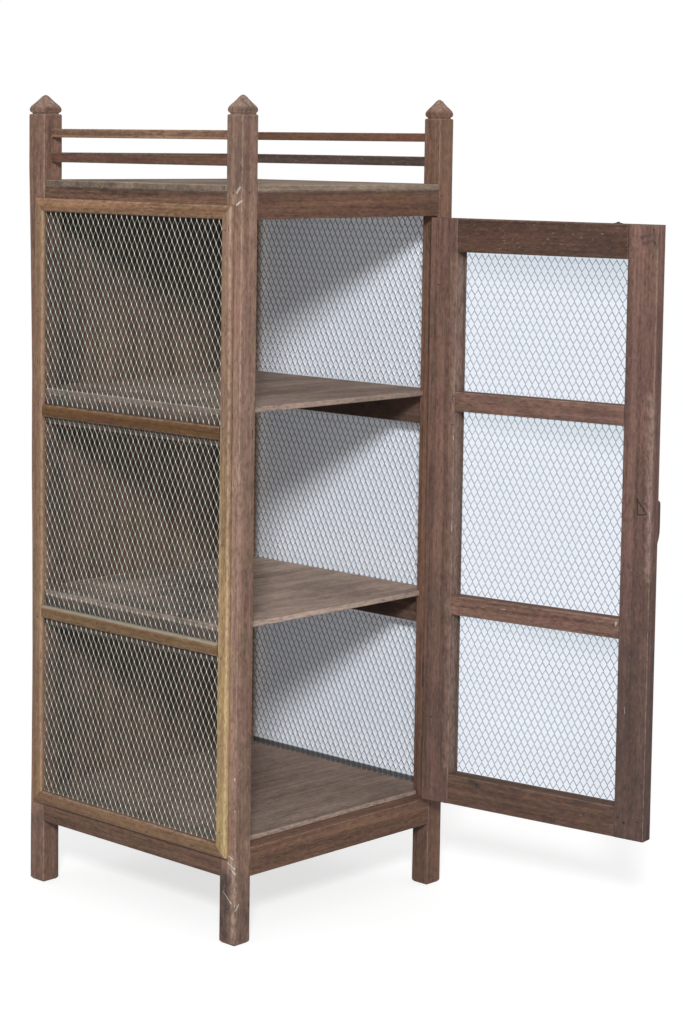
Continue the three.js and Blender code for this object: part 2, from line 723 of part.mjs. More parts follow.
for (const [name, bottom] of Object.entries(hingeBottoms)) {
  addPiece(cabinet, `hinge_${name}_frame_leaf`,
    surface(hingeLeafShape(1, 0)).translate(pinX, pinY, bottom), 'iron');
  addPiece(cabinet, `hinge_${name}_pin`, turned(pinProfile).translate(pinX, pinY, bottom), 'iron');
  addPiece(door, `hinge_${name}_door_leaf`, surface(hingeLeafShape(-1, 1)).translate(0, 0, bottom), 'iron');
}

const pieSafe = new THREE.Group();
pieSafe.add(cabinet, door);

export default pieSafe;
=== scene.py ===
import json
import math

import bpy
from mathutils import Matrix, Vector

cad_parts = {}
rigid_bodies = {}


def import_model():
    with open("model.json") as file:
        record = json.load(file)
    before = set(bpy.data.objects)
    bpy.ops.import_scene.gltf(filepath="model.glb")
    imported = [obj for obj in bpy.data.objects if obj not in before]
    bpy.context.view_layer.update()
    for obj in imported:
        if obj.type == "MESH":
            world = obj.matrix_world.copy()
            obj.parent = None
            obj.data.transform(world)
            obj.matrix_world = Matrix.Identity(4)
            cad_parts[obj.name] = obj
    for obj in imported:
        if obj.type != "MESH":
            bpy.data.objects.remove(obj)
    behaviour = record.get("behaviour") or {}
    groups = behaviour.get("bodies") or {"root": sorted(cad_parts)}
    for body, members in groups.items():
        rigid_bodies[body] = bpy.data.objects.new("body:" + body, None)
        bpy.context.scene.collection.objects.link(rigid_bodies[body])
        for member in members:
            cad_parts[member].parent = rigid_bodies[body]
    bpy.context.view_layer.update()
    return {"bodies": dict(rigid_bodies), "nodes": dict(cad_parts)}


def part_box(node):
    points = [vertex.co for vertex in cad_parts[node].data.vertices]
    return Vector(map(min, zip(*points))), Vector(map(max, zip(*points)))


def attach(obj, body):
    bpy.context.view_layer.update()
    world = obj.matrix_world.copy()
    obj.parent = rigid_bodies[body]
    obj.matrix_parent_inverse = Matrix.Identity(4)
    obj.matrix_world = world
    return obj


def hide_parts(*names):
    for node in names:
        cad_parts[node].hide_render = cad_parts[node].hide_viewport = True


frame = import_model()


# The camera stands at the front left of the safe, a little above its middle shelf, and looks slightly down.
# Its place, turn and lens are those that the photograph's straight edges give.
YAW, PITCH, ROLL = (math.radians(turn) for turn in (-45.747, 5.206, 0.685))
PHOTO_TALL = 1024
PHOTO_MIDDLE = (341.5, 512)
LENS_MIDDLE = (276.8, 362.5)
FOCAL_PIXELS = 2427.0
SENSOR = 36
backwards = Vector((math.sin(YAW) * math.cos(PITCH), -math.cos(YAW) * math.cos(PITCH), math.sin(PITCH)))
level = Vector((math.cos(YAW), math.sin(YAW), 0))
upright = backwards.cross(level)
across = level * math.cos(ROLL) + upright * math.sin(ROLL)
upwards = upright * math.cos(ROLL) - level * math.sin(ROLL)

bpy.ops.object.camera_add(location=(-2.97394, -2.98623, 1.42261))
camera = bpy.context.object
camera.name = "camera"
camera.rotation_euler = Matrix((across, upwards, backwards)).transposed().to_euler()
camera.data.sensor_width = SENSOR
camera.data.lens = SENSOR * FOCAL_PIXELS / PHOTO_TALL
camera.data.shift_x = (PHOTO_MIDDLE[0] - LENS_MIDDLE[0]) / PHOTO_TALL
camera.data.shift_y = (LENS_MIDDLE[1] - PHOTO_MIDDLE[1]) / PHOTO_TALL
camera.data.clip_end = 100
bpy.context.scene.camera = camera


# The room: one large soft lamp at the front left, high up, and an even pale surround. The floor is pale
# and fades into the surround. It is lifted to white for the camera and keeps the safe's soft shadow.
def node_maker(tree):
    """A short way to add nodes to a tree, which is emptied first. The kind of a mathematical node is
    followed by what it does. Values in order fill a node's first inputs, names with a capital letter fill
    the inputs of that name, and names in small letters are settings. A value can be another node's output,
    or a node, which stands for the first output that it has in use."""
    tree.nodes.clear()

    def add(kind, *values, **named):
        kind, *operation = kind.split()
        node = tree.nodes.new(kind if kind.startswith("NodeGroup") else "ShaderNode" + kind)
        if operation:
            node.operation = operation[0]
        given = dict(enumerate(values))
        for name, value in named.items():
            if name.islower():
                setattr(node, name, value)
            else:
                given[name.replace("_", " ")] = value
        for key, value in given.items():
            socket = node.inputs[key]
            if isinstance(value, bpy.types.Node):
                value = next(output for output in value.outputs if output.enabled)
            if isinstance(value, bpy.types.NodeSocket):
                tree.links.new(value, socket)
            else:
                socket.default_value = (*value, 1) if socket.type == "RGBA" else value
        return node
    return add


def new_material(name):
    """A material, the short way to add its nodes, and the place of each point of the object that has it."""
    material = bpy.data.materials.new(name)
    material.use_nodes = True
    add = node_maker(material.node_tree)
    return material, add, add("TexCoord").outputs["Object"]


def shown_mesh(name):
    """Names the object just made, with its place kept in its mesh."""
    piece = bpy.context.object
    bpy.ops.object.transform_apply(location=True, rotation=True, scale=True)
    piece.name = name
    piece.data.name = name
    return piece


def mixed(add, mask, below, above, how="MIX"):
    """A colour with another over it where the mask is 1."""
    return add("Mix", data_type="RGBA", blend_type=how, Factor=mask, A=below, B=above)


def blended(add, level, stops, full):
    """A colour, or a value given as one grey, for each level from 0 to full, blended between them."""
    ramp = add("ValToRGB", level)
    points = ramp.color_ramp.elements
    for i, (height, shown) in enumerate(stops):
        point = points[i] if i < 2 else points.new(1)
        point.position = height / full
        point.color = (*shown, 1) if isinstance(shown, tuple) else (shown, shown, shown, 1)
    return ramp


bpy.context.scene.view_settings.view_transform = "Standard"

bpy.ops.object.light_add(type="AREA", location=(-4.6, -4.4, 3.75))
lamp = bpy.context.object
lamp.name = "key_lamp"
lamp.data.shape = "DISK"
lamp.data.size = 1.1
lamp.data.energy = 370
lamp.rotation_euler = (Vector((0.26, 0.26, 0.7)) - lamp.location).to_track_quat("-Z", "Y").to_euler()

surround = bpy.data.worlds.new("surround")
surround.use_nodes = True
bpy.context.scene.world = surround
add = node_maker(surround.node_tree)
seen = add("LightPath").outputs
direct = add("Math MAXIMUM", seen["Is Camera Ray"], seen["Is Transmission Ray"])
strength = add("MapRange", direct, To_Min=0.5, To_Max=1.0)
add("OutputWorld", add("Background", (1, 1, 1), strength))

FLOOR_GREY = 0.5
FLOOR_LIFT = 0.68
FLOOR_MIRRORED = 0.5
bpy.ops.mesh.primitive_circle_add(vertices=64, radius=3.2, fill_type="NGON", location=(0.3, 0.1, 0))
floor = bpy.context.object
floor.name = "studio_floor"
pale_floor, add, place = new_material("pale_floor")
seen = add("LightPath").outputs
mirrored = add("Math MULTIPLY", seen["Is Glossy Ray"], FLOOR_MIRRORED)
either = add("Math MAXIMUM", seen["Is Camera Ray"], mirrored)
lift = add("Emission", Strength=add("Math MULTIPLY", either, FLOOR_LIFT))
lifted = add("AddShader", add("BsdfDiffuse", (FLOOR_GREY, FLOOR_GREY, FLOOR_GREY)), lift)
fade = add("MapRange", add("VectorMath LENGTH", place), 1.2, 3.0, interpolation_type="SMOOTHSTEP")
add("OutputMaterial", add("MixShader", fade, lifted, add("BsdfTransparent")))
floor.data.materials.append(pale_floor)


# A white sheet of card stands close behind the right side. It shows the light that falls through the
# open front, and the shade under the top and the shelves. Its back edge is darkened with painted shade
# where the corner post's shade falls, and its foot beside the floor with a painted shadow of the gap there.
# It also glows faintly of its own, except where its shade is painted. Only its inner face shows, and only
# to the camera.
def stage_sheet(name, middle, turn, width, height):
    """A flat sheet with a new material of its own name, and what new_material gives with it."""
    bpy.ops.mesh.primitive_plane_add(size=1, location=middle, rotation=turn)
    bpy.context.object.scale = (width, height, 1)
    sheet = shown_mesh(name)
    material, *makings = new_material(name)
    sheet.data.materials.append(material)
    return sheet, *makings


PAINTED_POST_SHADE = (0.522, 0.492, 0.06)
PAINTED_GAP_SHADOW = (0.186, 0.189, 0.12)
card, add, place = stage_sheet("white_card", (0.56, 0.282, 0.735), (0, -math.pi / 2, 0), 1.13, 0.505)
spot = add("SeparateXYZ", place).outputs
# Painted shade along the card's back edge and a painted shadow along its foot; the mask is 1 elsewhere.
outside_painted_shade = add("MapRange", spot["Y"], *PAINTED_POST_SHADE, interpolation_type="SMOOTHSTEP")
whole = add("Math MULTIPLY", outside_painted_shade, add("MapRange", spot["Z"], *PAINTED_GAP_SHADOW))
paper = add("BsdfDiffuse", mixed(add, whole, (0, 0, 0), (1.25, 1.345, 1.49)))
# A faint glow of the card's own, off where its shade is painted.
card_glow = add("Emission", (0.86, 0.95, 1), add("Math MULTIPLY", whole, 0.06))
inner = add("Math SUBTRACT", 1, add("NewGeometry").outputs["Backfacing"])
shows = add("Math MULTIPLY", inner, add("LightPath").outputs["Is Camera Ray"])
add("OutputMaterial", add("MixShader", shows, add("BsdfTransparent"), add("AddShader", paper, card_glow)))

# A sheet of clear film hangs behind the door's mesh. It dims the white behind it a little towards blue, only
# for the camera and only from the door's inner side, and it turns with the door. Under the top rail and under
# each bar it is darker, a painted shade that reaches lower towards the free edge.
PIN = (0.5, -0.0235, 0)
OPEN = math.radians(98)
OPEN_AIR = (0.83, 0.87, 0.95)
PAINTED_SHADE = (0.62, 0.69, 0.76)
# The tint up the door: clear air, darkening to a painted shade just under each bar and under the top rail.
air_and_painted_shade = ((0, OPEN_AIR), (0.51, OPEN_AIR), (0.58, PAINTED_SHADE), (0.582, OPEN_AIR), (0.89, OPEN_AIR), (0.964, PAINTED_SHADE),
       (0.966, OPEN_AIR), (1.17, OPEN_AIR), (1.25, PAINTED_SHADE))
film, add, place = stage_sheet("clear_film", (0.2375, 0.018, 0.729), (math.pi / 2, 0, 0), 0.4, 1.03)
film.data.transform(Matrix.Translation(PIN) @ Matrix.Rotation(OPEN, 4, "Z")
                    @ Matrix.Translation((-0.475, -0.03, 0)))
shows = add("Math MULTIPLY", add("LightPath").outputs["Is Camera Ray"],
            add("NewGeometry").outputs["Backfacing"])
slope = add("VectorMath DOT_PRODUCT", place, (0, -0.05, 0.667))
tint = mixed(add, shows, (1, 1, 1), blended(add, slope, air_and_painted_shade, 1.5))
add("OutputMaterial", add("BsdfTransparent", tint))
film.parent = frame["bodies"]["door"]
film.matrix_parent_inverse = frame["bodies"]["door"].matrix_world.inverted()


# The four posts are sawn from hardwood 39 mm square. Their feet are eased, and each top is carved into a
# finial: a narrow waist, a swell and a blunt four-sided point. The wood is bare, greyed and handled smooth.
def new_group(name, inputs, outputs):
    """A node group, the short way to add its nodes, and what it is given. Each socket has its first value,
    which also tells its kind: three numbers for a colour, one for a value, and None for a vector."""
    group = bpy.data.node_groups.new(name, "ShaderNodeTree")
    for way, sockets in (("INPUT", inputs), ("OUTPUT", outputs)):
        for label, start in sockets.items():
            kind = "Vector" if start is None else "Color" if isinstance(start, tuple) else "Float"
            socket = group.interface.new_socket(name=label, in_out=way, socket_type="NodeSocket" + kind)
            if start is not None:
                socket.default_value = (*start, 1) if kind == "Color" else start
    add = node_maker(group)
    return group, add, add("NodeGroupInput").outputs


def aged_grain_group():
    """Grain of old bare hardwood, running along Z of the coordinates that it is given, in metres."""
    group, add, given = new_group(
        "aged_grain",
        dict(Place=None, Pale=(0.32, 0.2, 0.15), Deep=(0.16, 0.09, 0.065), Dirt=0.4, Cracks=0.5, Flecks=0.0,
             Arris=0.0, Stain=0.0, Scratch=0.0, Hole=0.0),
        dict(Color=(0, 0, 0), Roughness=0.0, Height=0.0))

    def noise(stretch, detail, roughness, warp=0.0):
        spread = add("Mapping", given["Place"], Scale=stretch)
        return add("TexNoise", spread, Scale=1.0, Detail=detail, Roughness=roughness, Distortion=warp)

    def mapped(value, *ends):
        return add("MapRange", value, *ends)

    def times(a, b):
        return add("Math MULTIPLY", a, b)

    def plus(a, b):
        return add("Math ADD", a, b)

    def less(a, b):
        return add("Math SUBTRACT", a, b)

    broad = mapped(noise((26, 26, 0.7), 4, 0.55, 0.3), 0.36, 0.66)
    bands = mapped(noise((105, 105, 1.7), 5, 0.66, 0.5), 0.36, 0.66)
    fibres = mapped(noise((560, 560, 13), 5, 0.7), 0.34, 0.68)
    crust = mapped(noise((190, 190, 75), 4, 0.7), 0.34, 0.68)
    patches = mapped(noise((12, 12, 5), 5, 0.62), 0.45, 0.64)
    smudge = mapped(noise((55, 55, 24), 5, 0.7), 0.44, 0.68)
    pores = mapped(noise((520, 520, 60), 2, 0.5), 0.6, 0.68)
    olive = mapped(noise((33, 33, 11), 3, 0.6), 0.5, 0.68)
    plum = mapped(noise((41, 41, 15), 3, 0.6), 0.5, 0.68)
    split = add("Math ABSOLUTE", less(noise((150, 150, 1.2), 3, 0.5), 0.5))
    some = mapped(noise((14, 14, 3), 2, 0.5), 0.48, 0.58)
    crack = times(times(mapped(split, 0.0, 0.011, 1.0, 0.0), some), given["Cracks"])
    fleck = times(mapped(noise((330, 330, 120), 3, 0.6), 0.64, 0.69), given["Flecks"])

    tone = plus(plus(times(bands, 0.26), times(crust, 0.28)), plus(times(fibres, 0.16), times(broad, 0.3)))
    grimy = times(plus(times(patches, 0.42), times(smudge, 0.34)), given["Dirt"])
    blotchy = times(given["Stain"], mapped(smudge, 0.0, 1.0, 0.7, 1.15))
    rubbed = times(given["Arris"], mapped(crust, 0.1, 0.8, 0.2, 1.0))
    bright = mixed(add, 0.5, given["Pale"], (0.56, 0.45, 0.38))
    scraped = times(given["Scratch"], mapped(crust, 0.15, 0.6, 0.35, 0.95))
    colour = mixed(add, mapped(tone, 0.2, 0.8), given["Deep"], given["Pale"])
    for mask, layer, how in (
        (times(olive, 0.8), (0.88, 0.96, 0.84), "MULTIPLY"),
        (times(plum, 0.8), (0.88, 0.81, 0.9), "MULTIPLY"),
        (grimy, (0.055, 0.042, 0.036), "MIX"),
        # The near-black of stains, also used for painted shade.
        (blotchy, (0.045, 0.036, 0.034), "MIX"),
        (times(rubbed, 0.75), bright, "MIX"),
        (times(pores, 0.55), (0.045, 0.028, 0.022), "MIX"),
        (times(crack, 0.85), (0.02, 0.014, 0.012), "MIX"),
        (times(fleck, 0.8), (0.62, 0.6, 0.56), "MIX"),
        (given["Hole"], (0.02, 0.015, 0.013), "MIX"),
        (scraped, (0.72, 0.69, 0.64), "MIX"),
    ):
        colour = mixed(add, mask, colour, layer, how)
    rough = plus(mapped(fibres, 0.0, 1.0, 0.62, 0.8), times(patches, 0.12))
    height = less(plus(times(fibres, 0.35), times(bands, 0.4)), plus(crack, times(pores, 0.35)))
    add("NodeGroupOutput", Color=colour, Roughness=rough, Height=less(height, times(given["Hole"], 1.5)))
    return group


def worn_arris_group():
    """From a normal that is rounded at the edges of squared timber: Arris is 1 along the edges and 0 on the
    faces, Ends is 1 on faces square to the grain, and Front is 1 on faces that look forward."""
    group, add, given = new_group("worn_arris", dict(Rounded=None, Turn=None, Grain=None),
                                  dict(Arris=0.0, Ends=0.0, Front=0.0))
    own = add("VectorTransform", given["Rounded"], vector_type="NORMAL", convert_from="WORLD",
              convert_to="OBJECT")
    squared = add("Mapping", own, Rotation=given["Turn"])
    plain = add("VectorMath ABSOLUTE", squared)
    parts = add("SeparateXYZ", plain).outputs
    wider = add("Math MAXIMUM", parts["X"], parts["Y"])
    widest = add("Math MAXIMUM", wider, parts["Z"])
    lengthwise = add("VectorMath DOT_PRODUCT", plain, given["Grain"])
    forward = add("SeparateXYZ", squared).outputs["Y"]
    add("NodeGroupOutput", add("MapRange", widest, 0.985, 0.82), add("MapRange", lengthwise, 0.8, 0.95),
        add("MapRange", forward, -0.75, -0.95))
    return group


def mark_group():
    """A short straight mark on a face: 1 on the line between its two ends, and 0 away from it."""
    group, add, given = new_group("mark", dict(Place=None, Start=None, Way=None, Width=0.0), dict(Mark=0.0))
    offset = add("VectorMath SUBTRACT", given["Place"], given["Start"])
    along = add("VectorMath DOT_PRODUCT", offset, given["Way"])
    length = add("VectorMath DOT_PRODUCT", given["Way"], given["Way"])
    share = add("Math DIVIDE", along, length, use_clamp=True)
    nearest = add("VectorMath SCALE", given["Way"], Scale=share)
    apart = add("VectorMath DISTANCE", offset, nearest)
    grit = add("Math DIVIDE", 1.2, given["Width"])
    ragged = add("TexNoise", given["Place"], Scale=grit, Detail=3.0, Roughness=0.6)
    wobble = add("Math MULTIPLY_ADD", ragged, given["Width"], apart)
    core = add("Math MULTIPLY", given["Width"], 0.55)
    rim = add("Math MULTIPLY", given["Width"], 1.35)
    add("NodeGroupOutput", add("MapRange", wobble, core, rim, 1.0, 0.0))
    return group


aged_grain = aged_grain_group()
worn_arris = worn_arris_group()
mark = mark_group()

GRAIN_TURNS = {"z": (0, 0, 0), "x": (0, math.pi / 2, 0), "y": (math.pi / 2, 0, 0)}
GRAIN_WAYS = {"z": (0, 0, 1), "x": (1, 0, 0), "y": (0, 1, 0)}
EDGE_ROUNDING = 0.0028
EDGE_WEAR = 0.7
GRAIN_DEPTH = 0.0012
RAMP_TOP = 1.55
DUST = (0.36, 0.37, 0.31)


def aged_wood(name, pale, deep, along, moved, dirt=0.4, cracks=0.5, flecks=0.0, turn=0.0, relief=0.4,
              ends=0.35, front_wear_and_shade=0.0, dust=0.0, stains_and_shade=(), scratches=(), holes=(), blotches_and_shade=(), rubs=()):
    """Bare old timber, its grain along one axis. moved starts the pattern at another place in the tree. pale
    and deep are one colour, or pairs of a height and a colour. The stains are pairs of a height and how dark
    it is there, for real stains and also for painted shade. Scratches, holes, blotches and rubs are marks
    from one point of the piece's face to another, each with its width and, if it isn't full, its strength;
    the dark blotches also stand for painted shade and shadow. The front value lightens the faces that look
    forward, as worn wood, or darkens them below 0, as painted shade. dust lies on faces that look up."""
    material, add, place = new_material(name)
    turned = add("Mapping", place, Rotation=(0, 0, -turn))
    laid = add("Mapping", turned, Rotation=GRAIN_TURNS[along], Location=moved)
    rounded = add("Bevel", EDGE_ROUNDING, samples=4)
    faces = add("Group", node_tree=worn_arris, Rounded=rounded, Turn=(0, 0, -turn),
                Grain=GRAIN_WAYS[along]).outputs

    def most(values):
        """The greatest of several values."""
        so_far, *others = values
        for value in others:
            so_far = add("Math MAXIMUM", so_far, value)
        return so_far

    def share(value, part):
        return add("Math MULTIPLY", value, part)

    def by_height(stops):
        height = add("MapRange", add("SeparateXYZ", place).outputs["Z"], From_Max=RAMP_TOP)
        return blended(add, height, stops, RAMP_TOP)

    def marked(marks):
        """The lines of several marks."""
        lines = []
        for start, end, width, *strength in marks:
            way = [b - a or 0.00001 for a, b in zip(start, end)]
            line = add("Group", node_tree=mark, Place=turned, Start=start, Way=way, Width=width)
            lines.append(share(line, *strength) if strength else line)
        return lines

    given = {"Pale": pale, "Deep": deep}
    for socket, tint in given.items():
        if isinstance(tint[0], tuple):
            given[socket] = by_height(tint)
    given["Arris"] = most([share(faces["Arris"], EDGE_WEAR), share(faces["Front"], max(front_wear_and_shade, 0)),
                           *marked(rubs)])
    dark = [share(faces["Ends"], ends), share(faces["Front"], max(-front_wear_and_shade, 0)), *marked(blotches_and_shade)]
    given["Stain"] = most(dark + ([by_height(stains_and_shade)] if stains_and_shade else []))
    for socket, marks in (("Scratch", scratches), ("Hole", holes)):
        if marks:
            given[socket] = most(marked(marks))
    grain = add("Group", node_tree=aged_grain, Place=laid, Dirt=dirt, Cracks=cracks, Flecks=flecks,
                **given).outputs
    upward = add("MapRange", add("SeparateXYZ", add("NewGeometry").outputs["Normal"]).outputs["Z"],
                 0.15, 0.6, 0, dust)
    bump = add("Bump", Strength=relief, Distance=GRAIN_DEPTH, Height=grain["Height"], Normal=rounded)
    shader = add("BsdfPrincipled", mixed(add, upward, grain["Color"], DUST), Roughness=grain["Roughness"],
                 Normal=bump, Specular_IOR_Level=0.3)
    add("OutputMaterial", shader)
    return material


def copied(pattern):
    """A copy of an object with a mesh of its own."""
    piece = pattern.copy()
    piece.data = pattern.data.copy()
    bpy.context.scene.collection.objects.link(piece)
    return piece


def take(*pieces):
    """Selects only these objects, the first of them as the active one."""
    bpy.ops.object.select_all(action="DESELECT")
    for piece in pieces:
        piece.select_set(True)
    bpy.context.view_layer.objects.active = pieces[0]


def joined(pieces, name):
    """Several objects as one, with its name."""
    take(*pieces)
    if len(pieces) > 1:
        bpy.ops.object.join()
    return shown_mesh(name)


def enter(mode):
    bpy.ops.object.mode_set(mode=mode)


def work_on(kind):
    """Says whether edit mode's tools work on vertices, edges or faces."""
    bpy.context.tool_settings.mesh_select_mode = [kind == each for each in ("vertices", "edges", "faces")]


def pick(piece, kind, wanted):
    """In edit mode, selects only the faces, edges or points that the test accepts."""
    enter("OBJECT")
    for group in (piece.data.polygons, piece.data.edges, piece.data.vertices):
        for item in group:
            item.select = False
    for item in getattr(piece.data, kind):
        item.select = wanted(item)
    enter("EDIT")


def edge_runs(piece, edge, axis):
    a, b = (piece.data.vertices[i].co for i in edge.vertices)
    way = (b - a).normalized()
    return abs(way[axis]) > 0.99


def cut(point, way, **leaving):
    """Cuts the whole of the mesh in edit mode along a plane."""
    bpy.ops.mesh.select_all(action="SELECT")
    bpy.ops.mesh.bisect(plane_co=point, plane_no=way, **leaving)


def extrude(rise):
    bpy.ops.mesh.extrude_region_move(TRANSFORM_OT_translate={"value": (0, 0, rise)})


def shift(*way):
    bpy.ops.transform.translate(value=way)


def resize(share, middle):
    bpy.ops.transform.resize(value=share, center_override=middle)


POST = 0.039
APART = 0.521
SHOULDER = 1.468
POST_ARRIS = 0.0022
POST_RINGS = 15
UNEVEN = 0.00035
FOOT_EASE = 0.003
FOOT_SHARE = 0.86
WORN_TIP = 0.955
# The finial's sections: each one's rise above the shoulder, its share of the post's width, and how much its
# square is rounded.
FINIAL = ((0.0005, 0.8, 0.1), (0.0023, 0.8, 0), (0.0039, 0.9, 0), (0.006, 0.96, 0), (0.0088, 0.99, 0.06),
          (0.0116, 0.985, 0.06), (0.015, 0.92, 0.08), (0.0186, 0.8, 0.1), (0.0231, 0.62, 0.15),
          (0.0277, 0.45, 0.2), (0.0315, 0.32, 0.25), (0.0338, 0.22, 0.3), (0.035, 0.12, 0.4))


def carve_post(name, x, y, seed, bends=(), tip=1.0):
    """A post at x, y. bends say, from the top down, above which height the post is shifted, how far along X
    and Y, and its girth there. tip is the height of its finial, as a share of the others'."""
    bpy.ops.mesh.primitive_cube_add(size=1, location=(x, y, SHOULDER / 2), scale=(POST, POST, SHOULDER))
    post = shown_mesh(name)
    pick(post, "edges", lambda edge: edge_runs(post, edge, 2))
    work_on("edges")
    bpy.ops.mesh.bevel(offset=POST_ARRIS, segments=4, affect="EDGES")
    for way in (-1, 1):
        for side in ((1, 0, 0), (0, 1, 0)):
            cut((x + way * POST / 6, y + way * POST / 6, 0), side)
    work_on("faces")
    pick(post, "polygons", lambda face: face.normal.z < -0.9)
    extrude(-FOOT_EASE)
    resize((FOOT_SHARE, FOOT_SHARE, 1), (x, y, 0))
    pick(post, "vertices", lambda point: point.co.z < FOOT_EASE + 0.0001)
    work_on("vertices")
    shift(0, 0, FOOT_EASE)
    work_on("faces")
    pick(post, "polygons", lambda face: face.normal.z > 0.9)
    extrude(0.0004)
    before = 0.0
    for rise, half, rounding in FINIAL:
        extrude((rise - before) * tip)
        middle = (x, y, SHOULDER + rise * tip)
        if rounding:
            bpy.ops.transform.tosphere(value=rounding, center_override=middle)
        post.update_from_editmode()
        reach = max(point.co.x - x for point in post.data.vertices if point.select)
        fit = half * POST / 2 / reach
        resize((fit, fit, 1), middle)
        before = rise
    for i in range(1, POST_RINGS):
        cut((x, y, i * SHOULDER / POST_RINGS), (0, 0, 1))
    pick(post, "vertices", lambda point: 0.02 < point.co.z < SHOULDER - 0.02)
    work_on("vertices")
    bpy.ops.transform.vertex_random(offset=UNEVEN, seed=seed)
    top = 2.0
    for height, across, along, girth in bends:
        pick(post, "vertices", lambda point: height < point.co.z < top)
        resize((girth, girth, 1), (x, y, height))
        shift(across, along, 0)
        top = height
    enter("OBJECT")
    bpy.ops.object.shade_smooth_by_angle(angle=math.radians(35))
    return post


def marks_on(axis, face, *marks):
    """Marks on a face square to an axis. Each runs from one point to another, given by their two other
    coordinates, and has a width and, if it isn't full, a strength."""
    at = "xyz".index(axis)
    return [((*mark[:at], face, *mark[at:2]), (*mark[2:2 + at], face, *mark[2 + at:4]), *mark[4:])
            for mark in marks]


# The back left post was cut a little thicker at its top and has bowed since.
BOWED = ((1.32, -0.0017, 0.0018, 1.14), (1.25, -0.0012, 0.0013, 1.1), (1.15, -0.0008, 0.0008, 1.06),
         (1.05, -0.0004, 0.0004, 1.03), (0.72, 0, 0, 1), (0.62, 0.0004, -0.0012, 1),
         (0.53, 0.0006, -0.002, 1), (0.34, 0.0008, -0.0024, 1), (0.25, 0.0006, -0.0018, 1),
         (0.15, 0.0004, -0.001, 1))
OUTER = -POST / 2
INNER = APART - POST / 2
near_scratches = marks_on(
    "x", OUTER, (-0.0065, 1.3125, -0.0195, 1.3205, 0.0028), (-0.007, 1.3335, -0.0145, 1.343, 0.0034, 0.7),
    (-0.0031, 0.1621, -0.0157, 0.1578, 0.0018), (0.0007, 0.1504, -0.0182, 0.1413, 0.002),
    (-0.0069, 0.1413, -0.0195, 0.1325, 0.0026), (-0.0165, 0.1425, -0.018, 0.1418, 0.0036),
    (-0.0175, 0.134, -0.019, 0.1328, 0.0036), (0.0098, 0.0958, -0.0107, 0.077, 0.0013),
    (-0.0075, 0.0808, -0.01, 0.0785, 0.0034), (-0.0188, 0.0755, -0.0193, 0.0715, 0.0018),
    (-0.0165, 0.195, -0.0172, 0.1952, 0.0026), (-0.0172, 0.245, -0.0174, 0.2455, 0.0022),
    (-0.016, 0.302, -0.0165, 0.3035, 0.0025),
) + marks_on("y", OUTER, (-0.009, 0.0757, -0.0185, 0.0645, 0.0018))
near_holes = marks_on(
    "x", OUTER, (0.0022, 1.3318, 0.0022, 1.3335, 0.0026), (0.0112, 1.3242, 0.0112, 1.3242, 0.0024),
) + marks_on("y", OUTER, (-0.0011, 1.3334, -0.0011, 1.335, 0.0026), (0.0125, 0.92, 0.0125, 0.905, 0.0022))
near_blotches = marks_on(
    "x", OUTER, (0.003, 0.122, -0.001, 0.06, 0.034), (0.013, 0.125, 0.014, 0.02, 0.034, 0.95),
    (0.004, 0.04, 0.006, 0.012, 0.02, 0.75), (0.004, 1.455, 0.002, 1.35, 0.05, 0.6),
    (0.008, 0.12, 0.01, 0.01, 0.046, 0.84), (0.006, 1.475, 0, 1.46, 0.02, 0.5),
) + marks_on(
    "y", OUTER, (0.0185, 0.15, 0.0195, 0.01, 0.011, 0.9), (0.006, 0.035, -0.004, 0.012, 0.018, 0.75),
    (0.006, 0.168, 0.012, 0.148, 0.016, 0.6), (0.006, 1.25, 0.006, 0.22, 0.048, 0.3),
    (0.006, 0.62, 0.006, 0.2, 0.045, 0.42), (0.004, 0.12, 0.006, 0.01, 0.045, 0.62),
    (0.002, 1.44, 0.003, 1.38, 0.02, 0.35),
)
near_rubs = marks_on("x", OUTER, (-0.0165, 0.145, -0.0155, 0.008, 0.012), (0, 0.85, 0, 0.26, 0.034, 0.55),
                     (-0.014, 0.16, -0.006, 0.14, 0.014))
right_blotches = marks_on("x", INNER, (0, 0.16, 0, 0.01, 0.045, 0.45))
right_holes = marks_on("y", OUTER, (0.5087, 1.3242, 0.5087, 1.325, 0.0025),
                       (0.5063, 1.2983, 0.5063, 1.2983, 0.0022))
back_scratches = marks_on("x", OUTER, (0.5055, 1.4483, 0.5065, 1.4475, 0.003))
